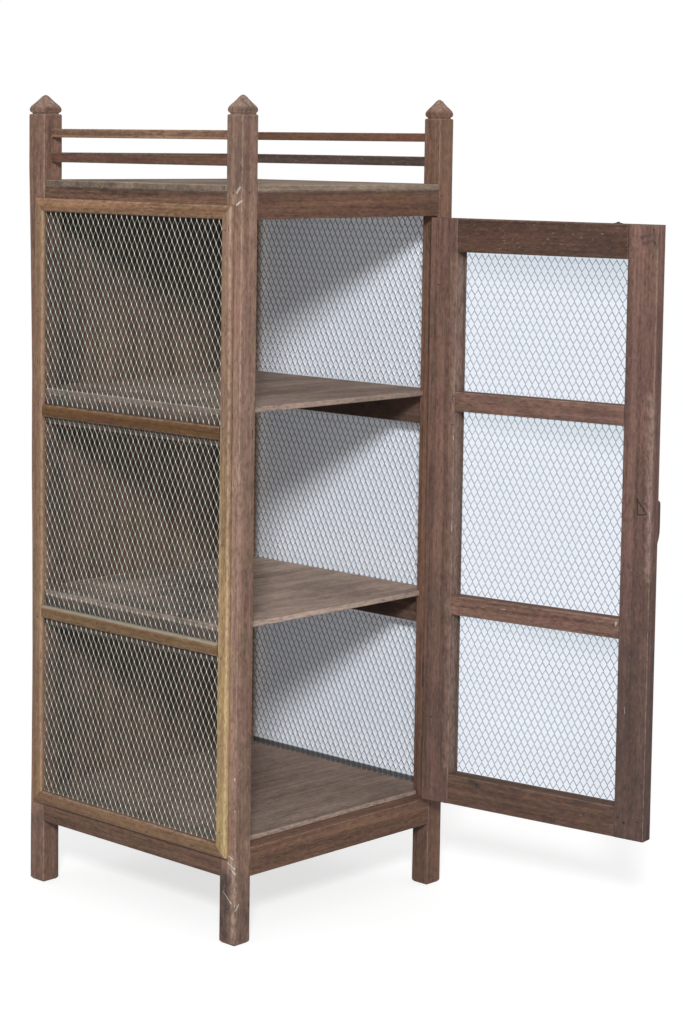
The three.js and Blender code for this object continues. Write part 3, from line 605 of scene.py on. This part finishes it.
# The back left post's front face is darkened with painted shade inside the cabinet; its left face has a dark
# blotch at the foot.
back_blotches_and_shade = (marks_on("x", OUTER, (0.521, 0.12, 0.521, 0.01, 0.05, 0.55))
                 + marks_on("y", INNER, (0.004, 1.26, 0.004, 0.2, 0.045, 0.8)))
back_holes = (marks_on("x", OUTER, (0.5246, 1.3753, 0.5225, 1.371, 0.0035))
              + marks_on("y", INNER, (-0.0114, 1.3677, -0.0114, 1.3677, 0.0025)))
post_wood = {
    "post_front_left": dict(
        at=(0, 0), moved=(0.3, 0.1, 0), flecks=0.22,
        pale=((0.7, (0.49, 0.3, 0.215)), (0.95, (0.505, 0.325, 0.245)), (1.25, (0.49, 0.3, 0.215))),
        deep=(0.17, 0.09, 0.064),
        stains_and_shade=((0, 0.3), (0.05, 0.4), (0.1, 0.36), (0.16, 0.1), (0.5, 0.02), (0.85, 0), (1.25, 0.03),
                (1.33, 0.28), (1.46, 0.34), (1.475, 0.55)),
        scratches=near_scratches, holes=near_holes, blotches_and_shade=near_blotches, rubs=near_rubs),
    "post_front_right": dict(
        at=(APART, 0), moved=(1.3, 0.4, 0.7), pale=(0.34, 0.188, 0.126), deep=(0.115, 0.058, 0.038),
        stains_and_shade=((0, 0.24), (0.12, 0.24), (0.4, 0), (1.35, 0), (1.5, 0.2)),
        holes=right_holes, blotches_and_shade=right_blotches),
    "post_back_left": dict(
        at=(0, APART), moved=(2.1, 0.9, 1.9), dirt=0.45, flecks=0.1, pale=(0.41, 0.24, 0.172),
        deep=(0.14, 0.076, 0.054), stains_and_shade=((0, 0.3), (0.1, 0.2), (0.2, 0), (1.4, 0), (1.5, 0.2)),
        scratches=back_scratches, holes=back_holes, blotches_and_shade=back_blotches_and_shade),
    "post_back_right": dict(
        at=(APART, APART), moved=(3.7, 1.2, 2.6), pale=(0.37, 0.22, 0.16), deep=(0.13, 0.072, 0.052),
        stains_and_shade=((0, 0.45), (0.1, 0.3), (0.2, 0), (1.4, 0), (1.5, 0.2))),
}
for seed, (name, finish) in enumerate(post_wood.items()):
    bends = BOWED if name == "post_back_left" else ()
    tip = WORN_TIP if name == "post_front_left" else 1.0
    post = carve_post("carved_" + name, *finish.pop("at"), seed, bends, tip)
    post.data.materials.append(aged_wood(name, along="z", cracks=0.6, **finish))
    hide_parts(name)
    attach(post, "cabinet")


# Rails, bearers and gallery rails are planed lengths tenoned into the posts. Each was cut from a
# different board, so their browns differ. The gallery's lower rails and the header are among the darkest.
HIDDEN = ((0.256, 0.149, 0.108), (0.086, 0.048, 0.035))
LEFT_BEARER = ((0.243, 0.149, 0.114), (0.078, 0.044, 0.034))
RIGHT_BEARER = ((0.218, 0.13, 0.096), (0.07, 0.038, 0.028))
rail_wood = {
    "header_front": ("x", (0.275, 0.14, 0.091), (0.085, 0.041, 0.027)),
    "bottom_rail_front": ("x", (0.33, 0.178, 0.118), (0.108, 0.057, 0.038)),
    "top_rail_back": ("x", *HIDDEN),
    "bottom_rail_back": ("x", *HIDDEN),
    "top_rail_left": ("y", (0.36, 0.195, 0.122), (0.06, 0.031, 0.021)),
    "top_rail_right": ("y", *HIDDEN),
    "bottom_rail_left": ("y", (0.262, 0.147, 0.1), (0.085, 0.045, 0.031)),
    "bottom_rail_right": ("y", (0.282, 0.161, 0.12), (0.094, 0.052, 0.035)),
    "bearer_lower_left": ("y", *LEFT_BEARER),
    "bearer_lower_right": ("y", *RIGHT_BEARER),
    "bearer_upper_left": ("y", *LEFT_BEARER),
    "bearer_upper_right": ("y", *RIGHT_BEARER),
    "gallery_left_upper": ("y", (0.5, 0.3, 0.19), (0.17, 0.09, 0.055)),
    "gallery_left_lower": ("y", (0.24, 0.115, 0.076), (0.07, 0.034, 0.022)),
    "gallery_back_upper": ("x", (0.307, 0.186, 0.132), (0.101, 0.059, 0.042)),
    "gallery_back_lower": ("x", (0.179, 0.118, 0.096), (0.055, 0.036, 0.028)),
    "gallery_right_upper": ("y", (0.225, 0.11, 0.066), (0.07, 0.034, 0.021)),
    "gallery_right_lower": ("y", (0.14, 0.093, 0.075), (0.03, 0.021, 0.018)),
}


def dress(name, material):
    """Gives a piece that the frame already holds its finish."""
    node = frame["nodes"][name]
    node.data.materials.clear()
    node.data.materials.append(material)


for i, (name, (along, pale, deep)) in enumerate(rail_wood.items()):
    # The header and the top rails get a dark line of painted shade along their top, under the top boards. The
    # bearers' faces that look to -X get painted shadow under the shelves, the right ones short of their front
    # ends.
    painted_gap_shade = ((0, 0), (1.33, 0), (1.334, 0.95)) if name.startswith(("header", "top_rail")) else ()
    flecks = 0.3 if name == "gallery_right_lower" else 0.0
    painted_shadow = ()
    if name.startswith("bearer"):
        low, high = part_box(name)
        level = (low[2] + high[2]) / 2
        start = 0.12 if name.endswith("right") else 0.03
        painted_shadow = marks_on("x", low[0], (start, level, 0.5, level, 0.07, 0.95))
    moved = (0.37 * i, 0.53 * i, 0.71 * i)
    dress(name, aged_wood(name, pale, deep, along, moved, dirt=0.45, flecks=flecks, stains_and_shade=painted_gap_shade,
                          blotches_and_shade=painted_shadow))


# The floor, the two shelves and the top are wide boards laid from side to side. The floor and the shelves
# are notched round the posts and made up of planks. All are worn, dusty and greyer than the frame.
PLANK_GAP = 0.0009
PLANK_EASE = 0.0008


def modify(piece, kind, **settings):
    """Changes the active object's mesh by one modifier."""
    change = piece.modifiers.new(kind.lower(), kind)
    for key, value in settings.items():
        setattr(change, key, value)
    bpy.ops.object.modifier_apply(modifier=change.name)


def planked(name, seams):
    """Copies of a board of the frame, cut along Y at the seams and joined as one piece."""
    planks = []
    low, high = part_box(name)
    edges = [low[1] - 0.01, *seams, high[1] + 0.01]
    for start, end in zip(edges, edges[1:]):
        plank = copied(frame["nodes"][name])
        plank.parent = None
        plank.matrix_world = Matrix()
        plank.hide_render = False
        plank.hide_viewport = False
        take(plank)
        enter("EDIT")
        bpy.ops.mesh.select_all(action="SELECT")
        bpy.ops.mesh.remove_doubles(threshold=0.00001)
        bpy.ops.mesh.dissolve_limited(angle_limit=math.radians(1))
        cut((0, start + PLANK_GAP / 2, 0), (0, 1, 0), use_fill=True, clear_inner=True)
        cut((0, end - PLANK_GAP / 2, 0), (0, 1, 0), use_fill=True, clear_outer=True)
        enter("OBJECT")
        planks.append(plank)
    board = joined(planks, "planked_" + name)
    board.data.materials.clear()
    modify(board, "BEVEL", width=PLANK_EASE, segments=2, limit_method="ANGLE", angle_limit=math.radians(50))
    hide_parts(name)
    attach(board, "cabinet")
    return board


# Each board: where it is cut into planks, its pale and deep colours, where its pattern starts, and how much
# its front faces are lightened, as worn wood, or, below 0, darkened, as painted shade on the top boards'
# front edges.
shelf_boards = {
    "floor_board": ((0.148, 0.318), (0.435, 0.322, 0.262), (0.253, 0.177, 0.142), (0.2, 1.7, 0.3), 1.3),
    "shelf_lower": ((0.205, 0.39), (0.72, 0.54, 0.455), (0.41, 0.3, 0.245), (2.2, 0.7, 1.3), 0.4),
    "shelf_upper": ((0.18, 0.35), (0.55, 0.412, 0.345), (0.315, 0.222, 0.18), (1.2, 0.9, 2.3), 0.15),
    "top_board_front": ((), (0.544, 0.411, 0.307), (0.23, 0.16, 0.116), (4.2, 2.9, 0.3), -0.4),
    "top_board_back": ((), (0.528, 0.403, 0.3), (0.218, 0.154, 0.11), (5.2, 3.9, 2.3), -0.4),
}
FLOOR_TOP, LOWER_TOP, UPPER_TOP = 0.182, 0.571, 0.955
# The floor and the shelves are darkened with painted shade, mostly along their left side near the left mesh.
painted_left_shade = {
    "shelf_lower": marks_on("z", LOWER_TOP, (0.06, 0.16, 0.3, 0.42, 0.17, 0.85),
                            (0, 0.06, 0, 0.5, 0.12, 0.75), (0.22, 0.48, 0.34, 0.5, 0.16, 0.7)),
    "shelf_upper": marks_on("z", UPPER_TOP, (0, 0.06, 0, 0.5, 0.09, 0.5)),
    "floor_board": marks_on("z", FLOOR_TOP, (0, 0.06, 0, 0.5, 0.09, 0.5)),
}
for name, (seams, pale, deep, moved, front_wear_and_shade) in shelf_boards.items():
    board = planked(name, seams)
    board.data.materials.append(aged_wood(name, pale, deep, "x", moved, dirt=0.7, cracks=0.7, flecks=0.05,
                                          ends=0.62, front_wear_and_shade=front_wear_and_shade, blotches_and_shade=painted_left_shade.get(name, ())))


# Two upright boards close the back, dark and rough from the saw. Painted shade darkens them in the left
# corner of each bay, and under the top and the shelves.
painted_corner_shade = marks_on(
    "y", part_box("back_board_left")[0][1], (0.02, 1.32, 0.02, 0.96, 0.16, 0.75),
    (0.02, 0.56, 0.02, 0.16, 0.14, 0.6), (0.02, 0.94, 0.02, 0.6, 0.1, 0.45), (0.1, 1.3, 0.5, 1.3, 0.06, 0.8))
painted_shade_under_shelves = ((0.36, 0), (0.47, 0.2), (0.555, 0.5), (0.56, 0), (0.75, 0), (0.86, 0.2), (0.94, 0.5),
                 (0.945, 0), (1.02, 0.02), (1.15, 0.4), (1.3, 0.8))
for name, moved in (("back_board_left", (6.0, 1.0, 2.0)), ("back_board_right", (7.3, 2.2, 1.1))):
    dress(name, aged_wood(name, (0.31, 0.195, 0.143), (0.105, 0.063, 0.047), "z", moved, dirt=0.7,
                          cracks=0.8, relief=0.6, blotches_and_shade=painted_corner_shade, stains_and_shade=painted_shade_under_shelves))


# The sides and the door are closed by expanded metal: zinced sheet, slit and drawn out into upright
# diamonds 14 mm wide and 26 mm high. Each strand leans a little, so one of its edges stands proud.
DIAMOND_WIDTH = 0.01405
DIAMOND_HEIGHT = 0.0262
BOND = 0.0026
GAUGE = 0.0005
SHEET_CORNER = (0, 0.0075, 0.17)


def drawn_sheet(name, wide, tall, strand, lean):
    """A sheet standing in the XZ plane, from 0 to its width and from 0 to its height. Its cells are long
    diamonds whose side corners are short upright bonds. Each strand leans across the sheet."""
    bpy.ops.mesh.primitive_circle_add(vertices=6, radius=0.5, fill_type="NGON", rotation=(math.pi / 2, 0, 0))
    sheet = bpy.context.object
    bpy.ops.object.transform_apply(location=False, rotation=True, scale=False)
    sheet.scale = (DIAMOND_WIDTH / math.cos(math.pi / 6), 1, DIAMOND_HEIGHT - BOND)
    sheet = shown_mesh(name)
    work_on("vertices")
    pick(sheet, "vertices", lambda point: abs(point.co.x) > DIAMOND_WIDTH / 4)
    resize((1, 1, 2 * BOND / (DIAMOND_HEIGHT - BOND)), (0, 0, 0))
    work_on("faces")
    pick(sheet, "polygons", lambda face: True)
    bpy.ops.mesh.inset(thickness=strand)
    pick(sheet, "polygons", lambda face: face.center.length < 0.0005)
    bpy.ops.mesh.delete(type="ONLY_FACE")
    work_on("vertices")
    for way in (1, -1):
        pick(sheet, "vertices", lambda point: DIAMOND_WIDTH / 4 < way * point.co.x
             and way * point.co.x < DIAMOND_WIDTH / 2 - strand / 2)
        shift(0, -way * lean * 1.2 * strand, way * 0.5 * strand)
        pick(sheet, "vertices", lambda point: DIAMOND_HEIGHT / 4 < way * point.co.z
             and way * point.co.z < (DIAMOND_HEIGHT - BOND) / 2 - strand / 2)
        shift(way * 0.25 * strand, 0, 0)
    enter("OBJECT")
    columns = math.ceil(wide / DIAMOND_WIDTH) + 2
    rows = math.ceil(tall / DIAMOND_HEIGHT) + 2
    for count, offset in ((2, (DIAMOND_WIDTH / 2, 0, DIAMOND_HEIGHT / 2)), (columns, (DIAMOND_WIDTH, 0, 0)),
                          (rows, (0, 0, DIAMOND_HEIGHT))):
        modify(sheet, "ARRAY", use_relative_offset=False, use_constant_offset=True,
               constant_offset_displace=offset, count=count, use_merge_vertices=True, merge_threshold=0.00005)
    enter("EDIT")
    cut((0, 0, 0), (1, 0, 0), clear_inner=True)
    cut((wide, 0, 0), (1, 0, 0), clear_outer=True)
    cut((0, 0, 0), (0, 0, 1), clear_inner=True)
    cut((0, 0, tall), (0, 0, 1), clear_outer=True)
    enter("OBJECT")
    modify(sheet, "SOLIDIFY", thickness=GAUGE, offset=0)
    return sheet


def zinced_wire(name, pale, deep, spots, knots=None):
    """Dull zinc, lighter where it faces up and darker where it faces down: some dust, and painted light and
    shade as from a lamp above. It has specks of rust. knots is a lighter colour for the bonds between the
    cells of a side sheet."""
    material, add, place = new_material(name)
    bloom = add("TexNoise", place, Scale=38.0, Detail=4.0, Roughness=0.6)
    fine = add("TexNoise", place, Scale=420.0, Detail=3.0)
    upward = add("SeparateXYZ", add("NewGeometry").outputs["Normal"]).outputs["Z"]
    uneven = add("MapRange", bloom, 0.3, 0.7, -0.25, 0.25)
    # Lighter on strands that face up and darker on those that face down: partly dust, partly painted light
    # and shade.
    dust_and_painted_light = add("Math ADD", add("MapRange", upward, -0.3, 0.35), uneven, use_clamp=True)
    colour = mixed(add, dust_and_painted_light, deep, pale)
    if knots:
        laid = add("VectorMath SUBTRACT", place, SHEET_CORNER)
        waves = []
        for way in (1, -1):
            slant = (0, math.tau / DIAMOND_WIDTH, way * math.tau / DIAMOND_HEIGHT)
            waves.append(add("Math COSINE", add("VectorMath DOT_PRODUCT", laid, slant)))
        bond = add("MapRange", add("Math MAXIMUM", *waves), -0.55, -0.88)
        colour = mixed(add, bond, colour, knots)
    rust = add("MapRange", fine, 0.6, 0.66, 0.0, spots)
    shader = add("BsdfPrincipled", mixed(add, rust, colour, (0.16, 0.085, 0.045)),
                 Roughness=add("MapRange", fine, To_Min=0.45, To_Max=0.7),
                 Metallic=add("MapRange", rust, From_Max=0.5, To_Min=0.3, To_Max=0.1),
                 Normal=add("Bump", Strength=0.25, Distance=0.0004, Height=fine))
    add("OutputMaterial", shader)
    return material


def set_down(piece, place, turn=0.0):
    """Moves a piece and turns it round Z, and keeps both in its mesh."""
    take(piece)
    piece.location = place
    piece.rotation_euler = (0, 0, turn)
    bpy.ops.object.transform_apply(location=True, rotation=True, scale=True)


# The right sheet, seen from within, has the same zinc painted much darker, as painted shade.
for side, face, strand, pale, deep, knots, lean in (
    ("left", OUTER - GAUGE, 0.00055, (0.5, 0.55, 0.48), (0.13, 0.145, 0.12), (0.85, 0.9, 0.82), 0.35),
    ("right", APART - OUTER + GAUGE, 0.00074, (0.14, 0.147, 0.154), (0.04, 0.042, 0.046),
     (0.42, 0.44, 0.47), -0.3),
):
    wire = drawn_sheet("wire_" + side, wide=0.506, tall=1.129, strand=strand, lean=lean)
    set_down(wire, (face, SHEET_CORNER[1], SHEET_CORNER[2]), math.pi / 2)
    wire.data.materials.append(zinced_wire("zinc_" + side, pale, deep, spots=0.7, knots=knots))
    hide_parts("mesh_" + side)
    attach(wire, "cabinet")

# The door's own sheet lies on its outer face. It is drawn as on the shut door, measured from the hinge pins,
# and turned open.
DOOR_SHEET_CORNER = (-0.4265, 0.0032, 0.224)
wire = drawn_sheet("wire_door", wide=0.378, tall=1.0105, strand=0.0005, lean=-1)
set_down(wire, DOOR_SHEET_CORNER)
set_down(wire, PIN, OPEN)
wire.data.materials.append(zinced_wire("zinc_door", (0.25, 0.257, 0.27), (0.1, 0.105, 0.115), spots=0.8))
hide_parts("door_mesh")
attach(wire, "door")


# Mouldings cover the edges of the mesh: strips 25 mm wide and 9 mm thick, round on the outer arrises,
# mitred at the corners and nailed on. They were made later than the frame, of a yellower wood.
MOULDING_WIDE = 0.025
MOULDING_THICK = 0.009
MOULDING_ROUND = 0.0062
MITRE_GAP = 0.0002
CROSS_GAP = 0.0006


def strip(name, length, mitred):
    """A strip along X, its inner edge at Z 0, its back at Y 0 and its face towards -Y."""
    reach = length / 2 + (MOULDING_WIDE if mitred else 0)
    bpy.ops.mesh.primitive_cube_add(size=1, location=(0, -MOULDING_THICK / 2, MOULDING_WIDE / 2),
                                    scale=(2 * reach, MOULDING_THICK, MOULDING_WIDE))
    piece = shown_mesh(name)
    work_on("edges")
    pick(piece, "edges", lambda edge: edge_runs(piece, edge, 0)
         and all(piece.data.vertices[i].co.y < -MOULDING_THICK / 2 for i in edge.vertices))
    bpy.ops.mesh.bevel(offset=MOULDING_ROUND, segments=5, profile=0.5, affect="EDGES")
    for i in range(1, 8):
        cut(((i / 4 - 1) * reach, 0, 0), (1, 0, 0))
    if mitred:
        for way in (1, -1):
            cut((way * (length / 2 - MITRE_GAP), 0, 0), (way, 0, -1), use_fill=True, clear_outer=True)
    enter("OBJECT")
    bpy.ops.object.shade_smooth_by_angle(angle=math.radians(30))
    return piece


def set_strip(piece, spin, turn, place):
    """Turns a strip in the plane of its face, then round Z, and moves it to its place."""
    turned = Matrix.Rotation(turn, 4, "Z") @ Matrix.Rotation(spin, 4, "Y")
    piece.data.transform(Matrix.Translation(place) @ turned)


def strips_round(low, high, near, far, crosses, shorter=0.0):
    """The four strips round an opening and those across it. Each has a length, whether it is mitred, its
    turn in the plane of its face, and the middle of its inner edge."""
    wide = far - near
    tall = high - low
    middle = (high + low) / 2
    halfway = (far + near) / 2
    return [(wide, True, 0, (halfway, high)), (wide, True, math.pi, (halfway, low)),
            (tall, True, -math.pi / 2, (near, middle)), (tall, True, math.pi / 2, (far, middle)),
            *((wide - shorter, False, 0, (halfway, level)) for level in crosses)]


side_strips = strips_round(low=FLOOR_TOP, high=1.287, near=0.0225, far=0.4985, crosses=(0.5165, 0.9005),
                           shorter=CROSS_GAP)
strip_tints = {
    "top": ((0.44, 0.24, 0.13), (0.1, 0.05, 0.027)),
    "bottom": ((0.31, 0.178, 0.1), (0.1, 0.054, 0.03)),
    "front": (((0.45, (0.74, 0.52, 0.255)), (0.75, (0.62, 0.41, 0.225)), (0.95, (0.46, 0.285, 0.2)),
               (1.3, (0.42, 0.26, 0.185))),
              ((0.45, (0.37, 0.245, 0.118)), (0.75, (0.22, 0.135, 0.072)), (0.95, (0.17, 0.1, 0.06)))),
    "back": ((0.42, 0.26, 0.155), (0.19, 0.108, 0.06)),
    "cross_lower": ((0.34, 0.205, 0.1), (0.1, 0.055, 0.027)),
    "cross_upper": ((0.21, 0.1, 0.035), (0.05, 0.023, 0.009)),
}
# Each side's turn round Z, the place of its mouldings' backs, and the way they look along X.
SIDES = (("left", -math.pi / 2, OUTER - 2 * GAUGE, -1), ("right", math.pi / 2, APART - OUTER + 2 * GAUGE, 1))
for side, turn, face, way in SIDES:
    for i, (part, (length, mitred, spin, (y, z))) in enumerate(zip(strip_tints, side_strips)):
        piece = strip("strip_%s_%s" % (side, part), length, mitred)
        set_strip(piece, spin * way, turn, (face, y, z))
        pale, deep = strip_tints[part]
        along = "z" if part in ("front", "back") else "y"
        dust = 0.55 if part == "cross_lower" else 0.0
        moved = (0.9 * i, 1.7 * i + way, 0.4 * i)
        piece.data.materials.append(aged_wood(piece.name, pale, deep, along, moved, dirt=0.35, cracks=0.3,
                                              dust=dust))
        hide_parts("moulding_%s_%s" % (side, part))
        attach(piece, "cabinet")


# The door is a frame of stiles, rails and two bars, darker and redder than the posts. A nail clinched on the
# lock stile has left a three-cornered mark, and the corners keep the dark dots of old nails.
HUNG = Matrix.Rotation(-OPEN, 3, "Z") @ Vector(PIN)


def door_marks(*marks, depth=0.032):
    """Marks on the door's inner face, each from x, z to x, z with a width, measured from the hinge pins."""
    return marks_on("y", depth + HUNG.y, *[(x + HUNG.x, z, end_x + HUNG.x, end_z, *width)
                                           for x, z, end_x, end_z, *width in marks])


lock_marks = {
    "holes": door_marks(
        (-0.4438, 0.7983, -0.4642, 0.7735, 0.0022), (-0.4456, 0.7985, -0.4462, 0.77, 0.0021),
        (-0.446, 0.7702, -0.4632, 0.7716, 0.0022), (-0.4609, 0.791, -0.4609, 0.7915, 0.0026),
        (-0.4617, 0.7633, -0.4617, 0.765, 0.0026), (-0.4672, 1.2532, -0.4672, 1.2532, 0.0034),
        (-0.465, 1.2761, -0.465, 1.2761, 0.0034), (-0.4605, 0.2148, -0.4605, 0.2148, 0.0034),
        (-0.422, 0.2175, -0.422, 0.2175, 0.003), (-0.434, 0.2099, -0.4335, 0.2085, 0.0042)),
    "scratches": door_marks(
        (-0.4698, 0.776, -0.4702, 0.766, 0.0013, 0.6), (-0.43, 0.42, -0.431, 0.409, 0.0013, 0.5)),
    "blotches_and_shade": door_marks(
        (-0.44, 1.262, -0.462, 1.268, 0.006, 0.8), (-0.445, 1.251, -0.463, 1.256, 0.005, 0.7),
        (-0.467, 1.27, -0.47, 1.25, 0.012, 0.6), (-0.44, 1.12, -0.441, 1.112, 0.007, 0.7),
        (-0.43, 0.68, -0.431, 0.672, 0.006, 0.6), (-0.445, 0.21, -0.43, 0.195, 0.014, 0.5)),
    "rubs": door_marks((-0.468, 0.98, -0.4715, 0.66, 0.014, 0.7)),
    "stains_and_shade": ((0, 0.64), (0.5, 0.58), (0.75, 0.12), (1.3, 0)),
}
hinge_marks = {
    "holes": door_marks(
        (-0.0555, 0.8999, -0.0555, 0.8999, 0.0026), (-0.02, 1.16, -0.0195, 1.1605, 0.0028),
        (-0.021, 0.34, -0.0205, 0.3405, 0.0028)),
    "scratches": door_marks(
        (-0.0588, 0.9685, -0.059, 0.958, 0.0016, 0.6), (-0.0588, 0.9498, -0.0588, 0.9498, 0.0022, 0.8),
        (-0.0588, 0.88, -0.059, 0.873, 0.0016, 0.6), (-0.0589, 0.72, -0.059, 0.7, 0.0013, 0.5)),
    "rubs": door_marks((-0.0595, 1.2, -0.0595, 0.25, 0.022, 0.9), depth=0.02),
    "stains_and_shade": ((0, 0.4), (0.55, 0.22), (0.85, 0.02), (1.3, 0)),
}
bar_marks = {
    "scratches": door_marks(
        (-0.409, 0.5712, -0.4085, 0.566, 0.0026), (-0.17, 0.566, -0.18, 0.5665, 0.001, 0.6)),
}
low_marks = {
    "blotches_and_shade": door_marks(
        (-0.11, 0.232, -0.125, 0.226, 0.011, 0.9), (-0.2, 0.233, -0.215, 0.231, 0.009, 0.8),
        (-0.33, 0.229, -0.36, 0.233, 0.011, 0.8), (-0.27, 0.19, -0.29, 0.188, 0.008, 0.6)),
}
door_wood = {
    "door_top_rail": ("x", (0.168, 0.083, 0.056), (0.036, 0.018, 0.0125), {}),
    "door_bottom_rail": ("x", (0.22, 0.122, 0.085), (0.066, 0.036, 0.025), low_marks),
    "door_bar_lower": ("x", (0.46, 0.265, 0.205), (0.12, 0.061, 0.043), bar_marks),
    "door_bar_upper": ("x", (0.36, 0.2, 0.157), (0.12, 0.062, 0.046), {}),
    "door_hinge_stile": ("z", (0.31, 0.174, 0.132), (0.097, 0.052, 0.039), hinge_marks),
    "door_lock_stile": ("z", (0.335, 0.183, 0.146), (0.108, 0.057, 0.045), lock_marks),
    "door_handle": ("z", (0.205, 0.112, 0.079), (0.062, 0.033, 0.023), {}),
}
for i, (name, (along, pale, deep, marks)) in enumerate(door_wood.items()):
    flecks = 0.3 if name == "door_top_rail" else 0.12
    moved = (0.61 * i, 0.43 * i, 0.29 * i)
    dress(name, aged_wood(name, pale, deep, along, moved, dirt=0.55, flecks=flecks, turn=OPEN, **marks))


# Mouldings cover the edge of the door's mesh too, with a strip across at each bar, all fixed as one frame.
# Their backs lie on the door's outer face.
BAY_LOW, BAY_HIGH = 0.236, 1.2225
BAY_FREE, BAY_HINGE = -0.4145, -0.0605
BARS = (0.56, 0.944)
DOOR_FACE = 0.0024
pieces = []
for length, mitred, spin, (x, z) in strips_round(BAY_LOW, BAY_HIGH, BAY_FREE, BAY_HINGE,
                                                 [bar - MOULDING_WIDE / 2 for bar in BARS]):
    piece = strip("door_strip", length, mitred)
    set_strip(piece, spin, 0, (x, DOOR_FACE, z))
    pieces.append(piece)
door_strip = joined(pieces, "strip_door")
set_down(door_strip, PIN, OPEN)
door_strip.data.materials.append(aged_wood("strip_door", (0.24, 0.15, 0.105), (0.1, 0.058, 0.04), "z",
                                           (3, 5, 7), cracks=0.3, turn=OPEN))
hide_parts("door_moulding")
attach(door_strip, "door")


# Hinges and catch are plain iron, brown with age. Small nails with flat heads hold the mouldings: one near
# each end and others between. Three countersunk screws hold each hinge leaf.
def aged_iron(name, skin, rust):
    """Old iron in two colours, its skin and its rust."""
    material, add, place = new_material(name)
    mottle = add("TexNoise", place, Scale=260.0, Detail=5.0, Roughness=0.65)
    spread = add("MapRange", mottle, 0.4, 0.62)
    shader = add("BsdfPrincipled", mixed(add, spread, skin, rust),
                 Roughness=add("MapRange", spread, To_Min=0.4, To_Max=0.8),
                 Metallic=add("MapRange", spread, To_Min=0.9, To_Max=0.25),
                 Normal=add("Bump", Strength=0.4, Distance=0.0003, Height=mottle))
    add("OutputMaterial", shader)
    return material


iron = aged_iron("aged_iron", (0.11, 0.1, 0.095), (0.17, 0.085, 0.045))
nail_iron = aged_iron("nail_iron", (0.05, 0.04, 0.036), (0.1, 0.05, 0.03))
for hinge in ("lower", "upper"):
    for part in ("frame_leaf", "pin", "door_leaf"):
        dress("hinge_%s_%s" % (hinge, part), iron)
dress("catch_barrel", iron)
dress("catch_ball", iron)


def head(name, radius, proud, slot):
    """A round head that looks along +Z, its underside just below Z 0, with a slot across it or none."""
    bpy.ops.mesh.primitive_cylinder_add(vertices=12, radius=radius, depth=proud + 0.0003,
                                        location=(0, 0, (proud - 0.0003) / 2))
    piece = shown_mesh(name)
    work_on("faces")
    pick(piece, "polygons", lambda face: face.normal.z > 0.9)
    bpy.ops.mesh.inset(thickness=radius * 0.25)
    shift(0, 0, proud * 0.3)
    if slot:
        for side in (-slot / 2, slot / 2):
            cut((side, 0, 0), (1, 0, 0))
        pick(piece, "polygons", lambda face: face.normal.z > 0.9 and abs(face.center.x) < slot / 2)
        extrude(-proud * 0.9)
    enter("OBJECT")
    return piece


def set_heads(name, body, finish, pattern, places):
    """Copies of one head at several places, each with the way it looks and its turn, joined as one piece."""
    heads = []
    for place, way, turn in places:
        piece = copied(pattern)
        looking = Vector(way).to_track_quat("Z", "Y").to_matrix().to_4x4()
        piece.data.transform(Matrix.Translation(place) @ looking @ Matrix.Rotation(turn, 4, "Z"))
        heads.append(piece)
    whole = joined(heads, name)
    whole.data.materials.append(finish)
    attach(whole, body)
    return whole


nail = head("nail_head", radius=0.0013, proud=0.0002, slot=0)
for side, turn, face, way in SIDES:
    spots = [(y, z) for y in (0.0105, 0.5105) for z in (0.2, 0.36, 0.52, 0.72, 0.92, 1.1, 1.268)]
    spots += [(y, z) for z in (0.1695, 1.2995) for y in (0.045, 0.2, 0.33, 0.476)]
    spots += [(y, z) for z in (0.529, 0.913) for y in (0.036, 0.18, 0.34, 0.485)]
    set_heads("nails_" + side, "cabinet", nail_iron, nail,
              [((face + way * MOULDING_THICK, y + 0.0011 * math.sin(97 * z + 31 * y),
                 z + 0.004 * math.sin(53 * y + 7 * z)), (way, 0, 0), 0) for y, z in spots])
NAIL_INSET = 0.0125
columns = (BAY_FREE - NAIL_INSET, BAY_HINGE + NAIL_INSET)
rows = (BAY_LOW - NAIL_INSET, *BARS, BAY_HIGH + NAIL_INSET)
spots = [(x, z) for x in columns for z in (0.25, 0.42, 0.7, 0.86, 1.05, 1.21)]
spots += [(x, z) for z in rows for x in (-0.4, -0.29, -0.18, -0.075)]
door_nails = set_heads("nails_door", "door", nail_iron, nail,
                       [((x + 0.0011 * math.sin(97 * z), DOOR_FACE - MOULDING_THICK, z), (0, -1, 0), 0)
                        for x, z in spots])
set_down(door_nails, PIN, OPEN)
bpy.data.objects.remove(nail)

# Each leaf lies 0.3 mm from the middle of its hinge's gap. On the shut door the two leaves face each
# other.
HALF_GAP = 0.0003
screw = head("screw_head", radius=0.0022, proud=0.00012, slot=0.0006)
for name, low in (("lower", 0.385), ("upper", 1.036)):
    spots = [(0.0175, low + 0.008), (0.0105, low + 0.025), (0.0175, low + 0.042)]
    set_heads("screws_%s_frame" % name, "cabinet", iron, screw,
              [((PIN[0] + HALF_GAP, PIN[1] + y, z), (-1, 0, 0), 50 * z) for y, z in spots])
    leaf = set_heads("screws_%s_door" % name, "door", iron, screw,
                     [((-HALF_GAP, y, z), (1, 0, 0), 70 * z) for y, z in spots])
    set_down(leaf, PIN, OPEN)
bpy.data.objects.remove(screw)
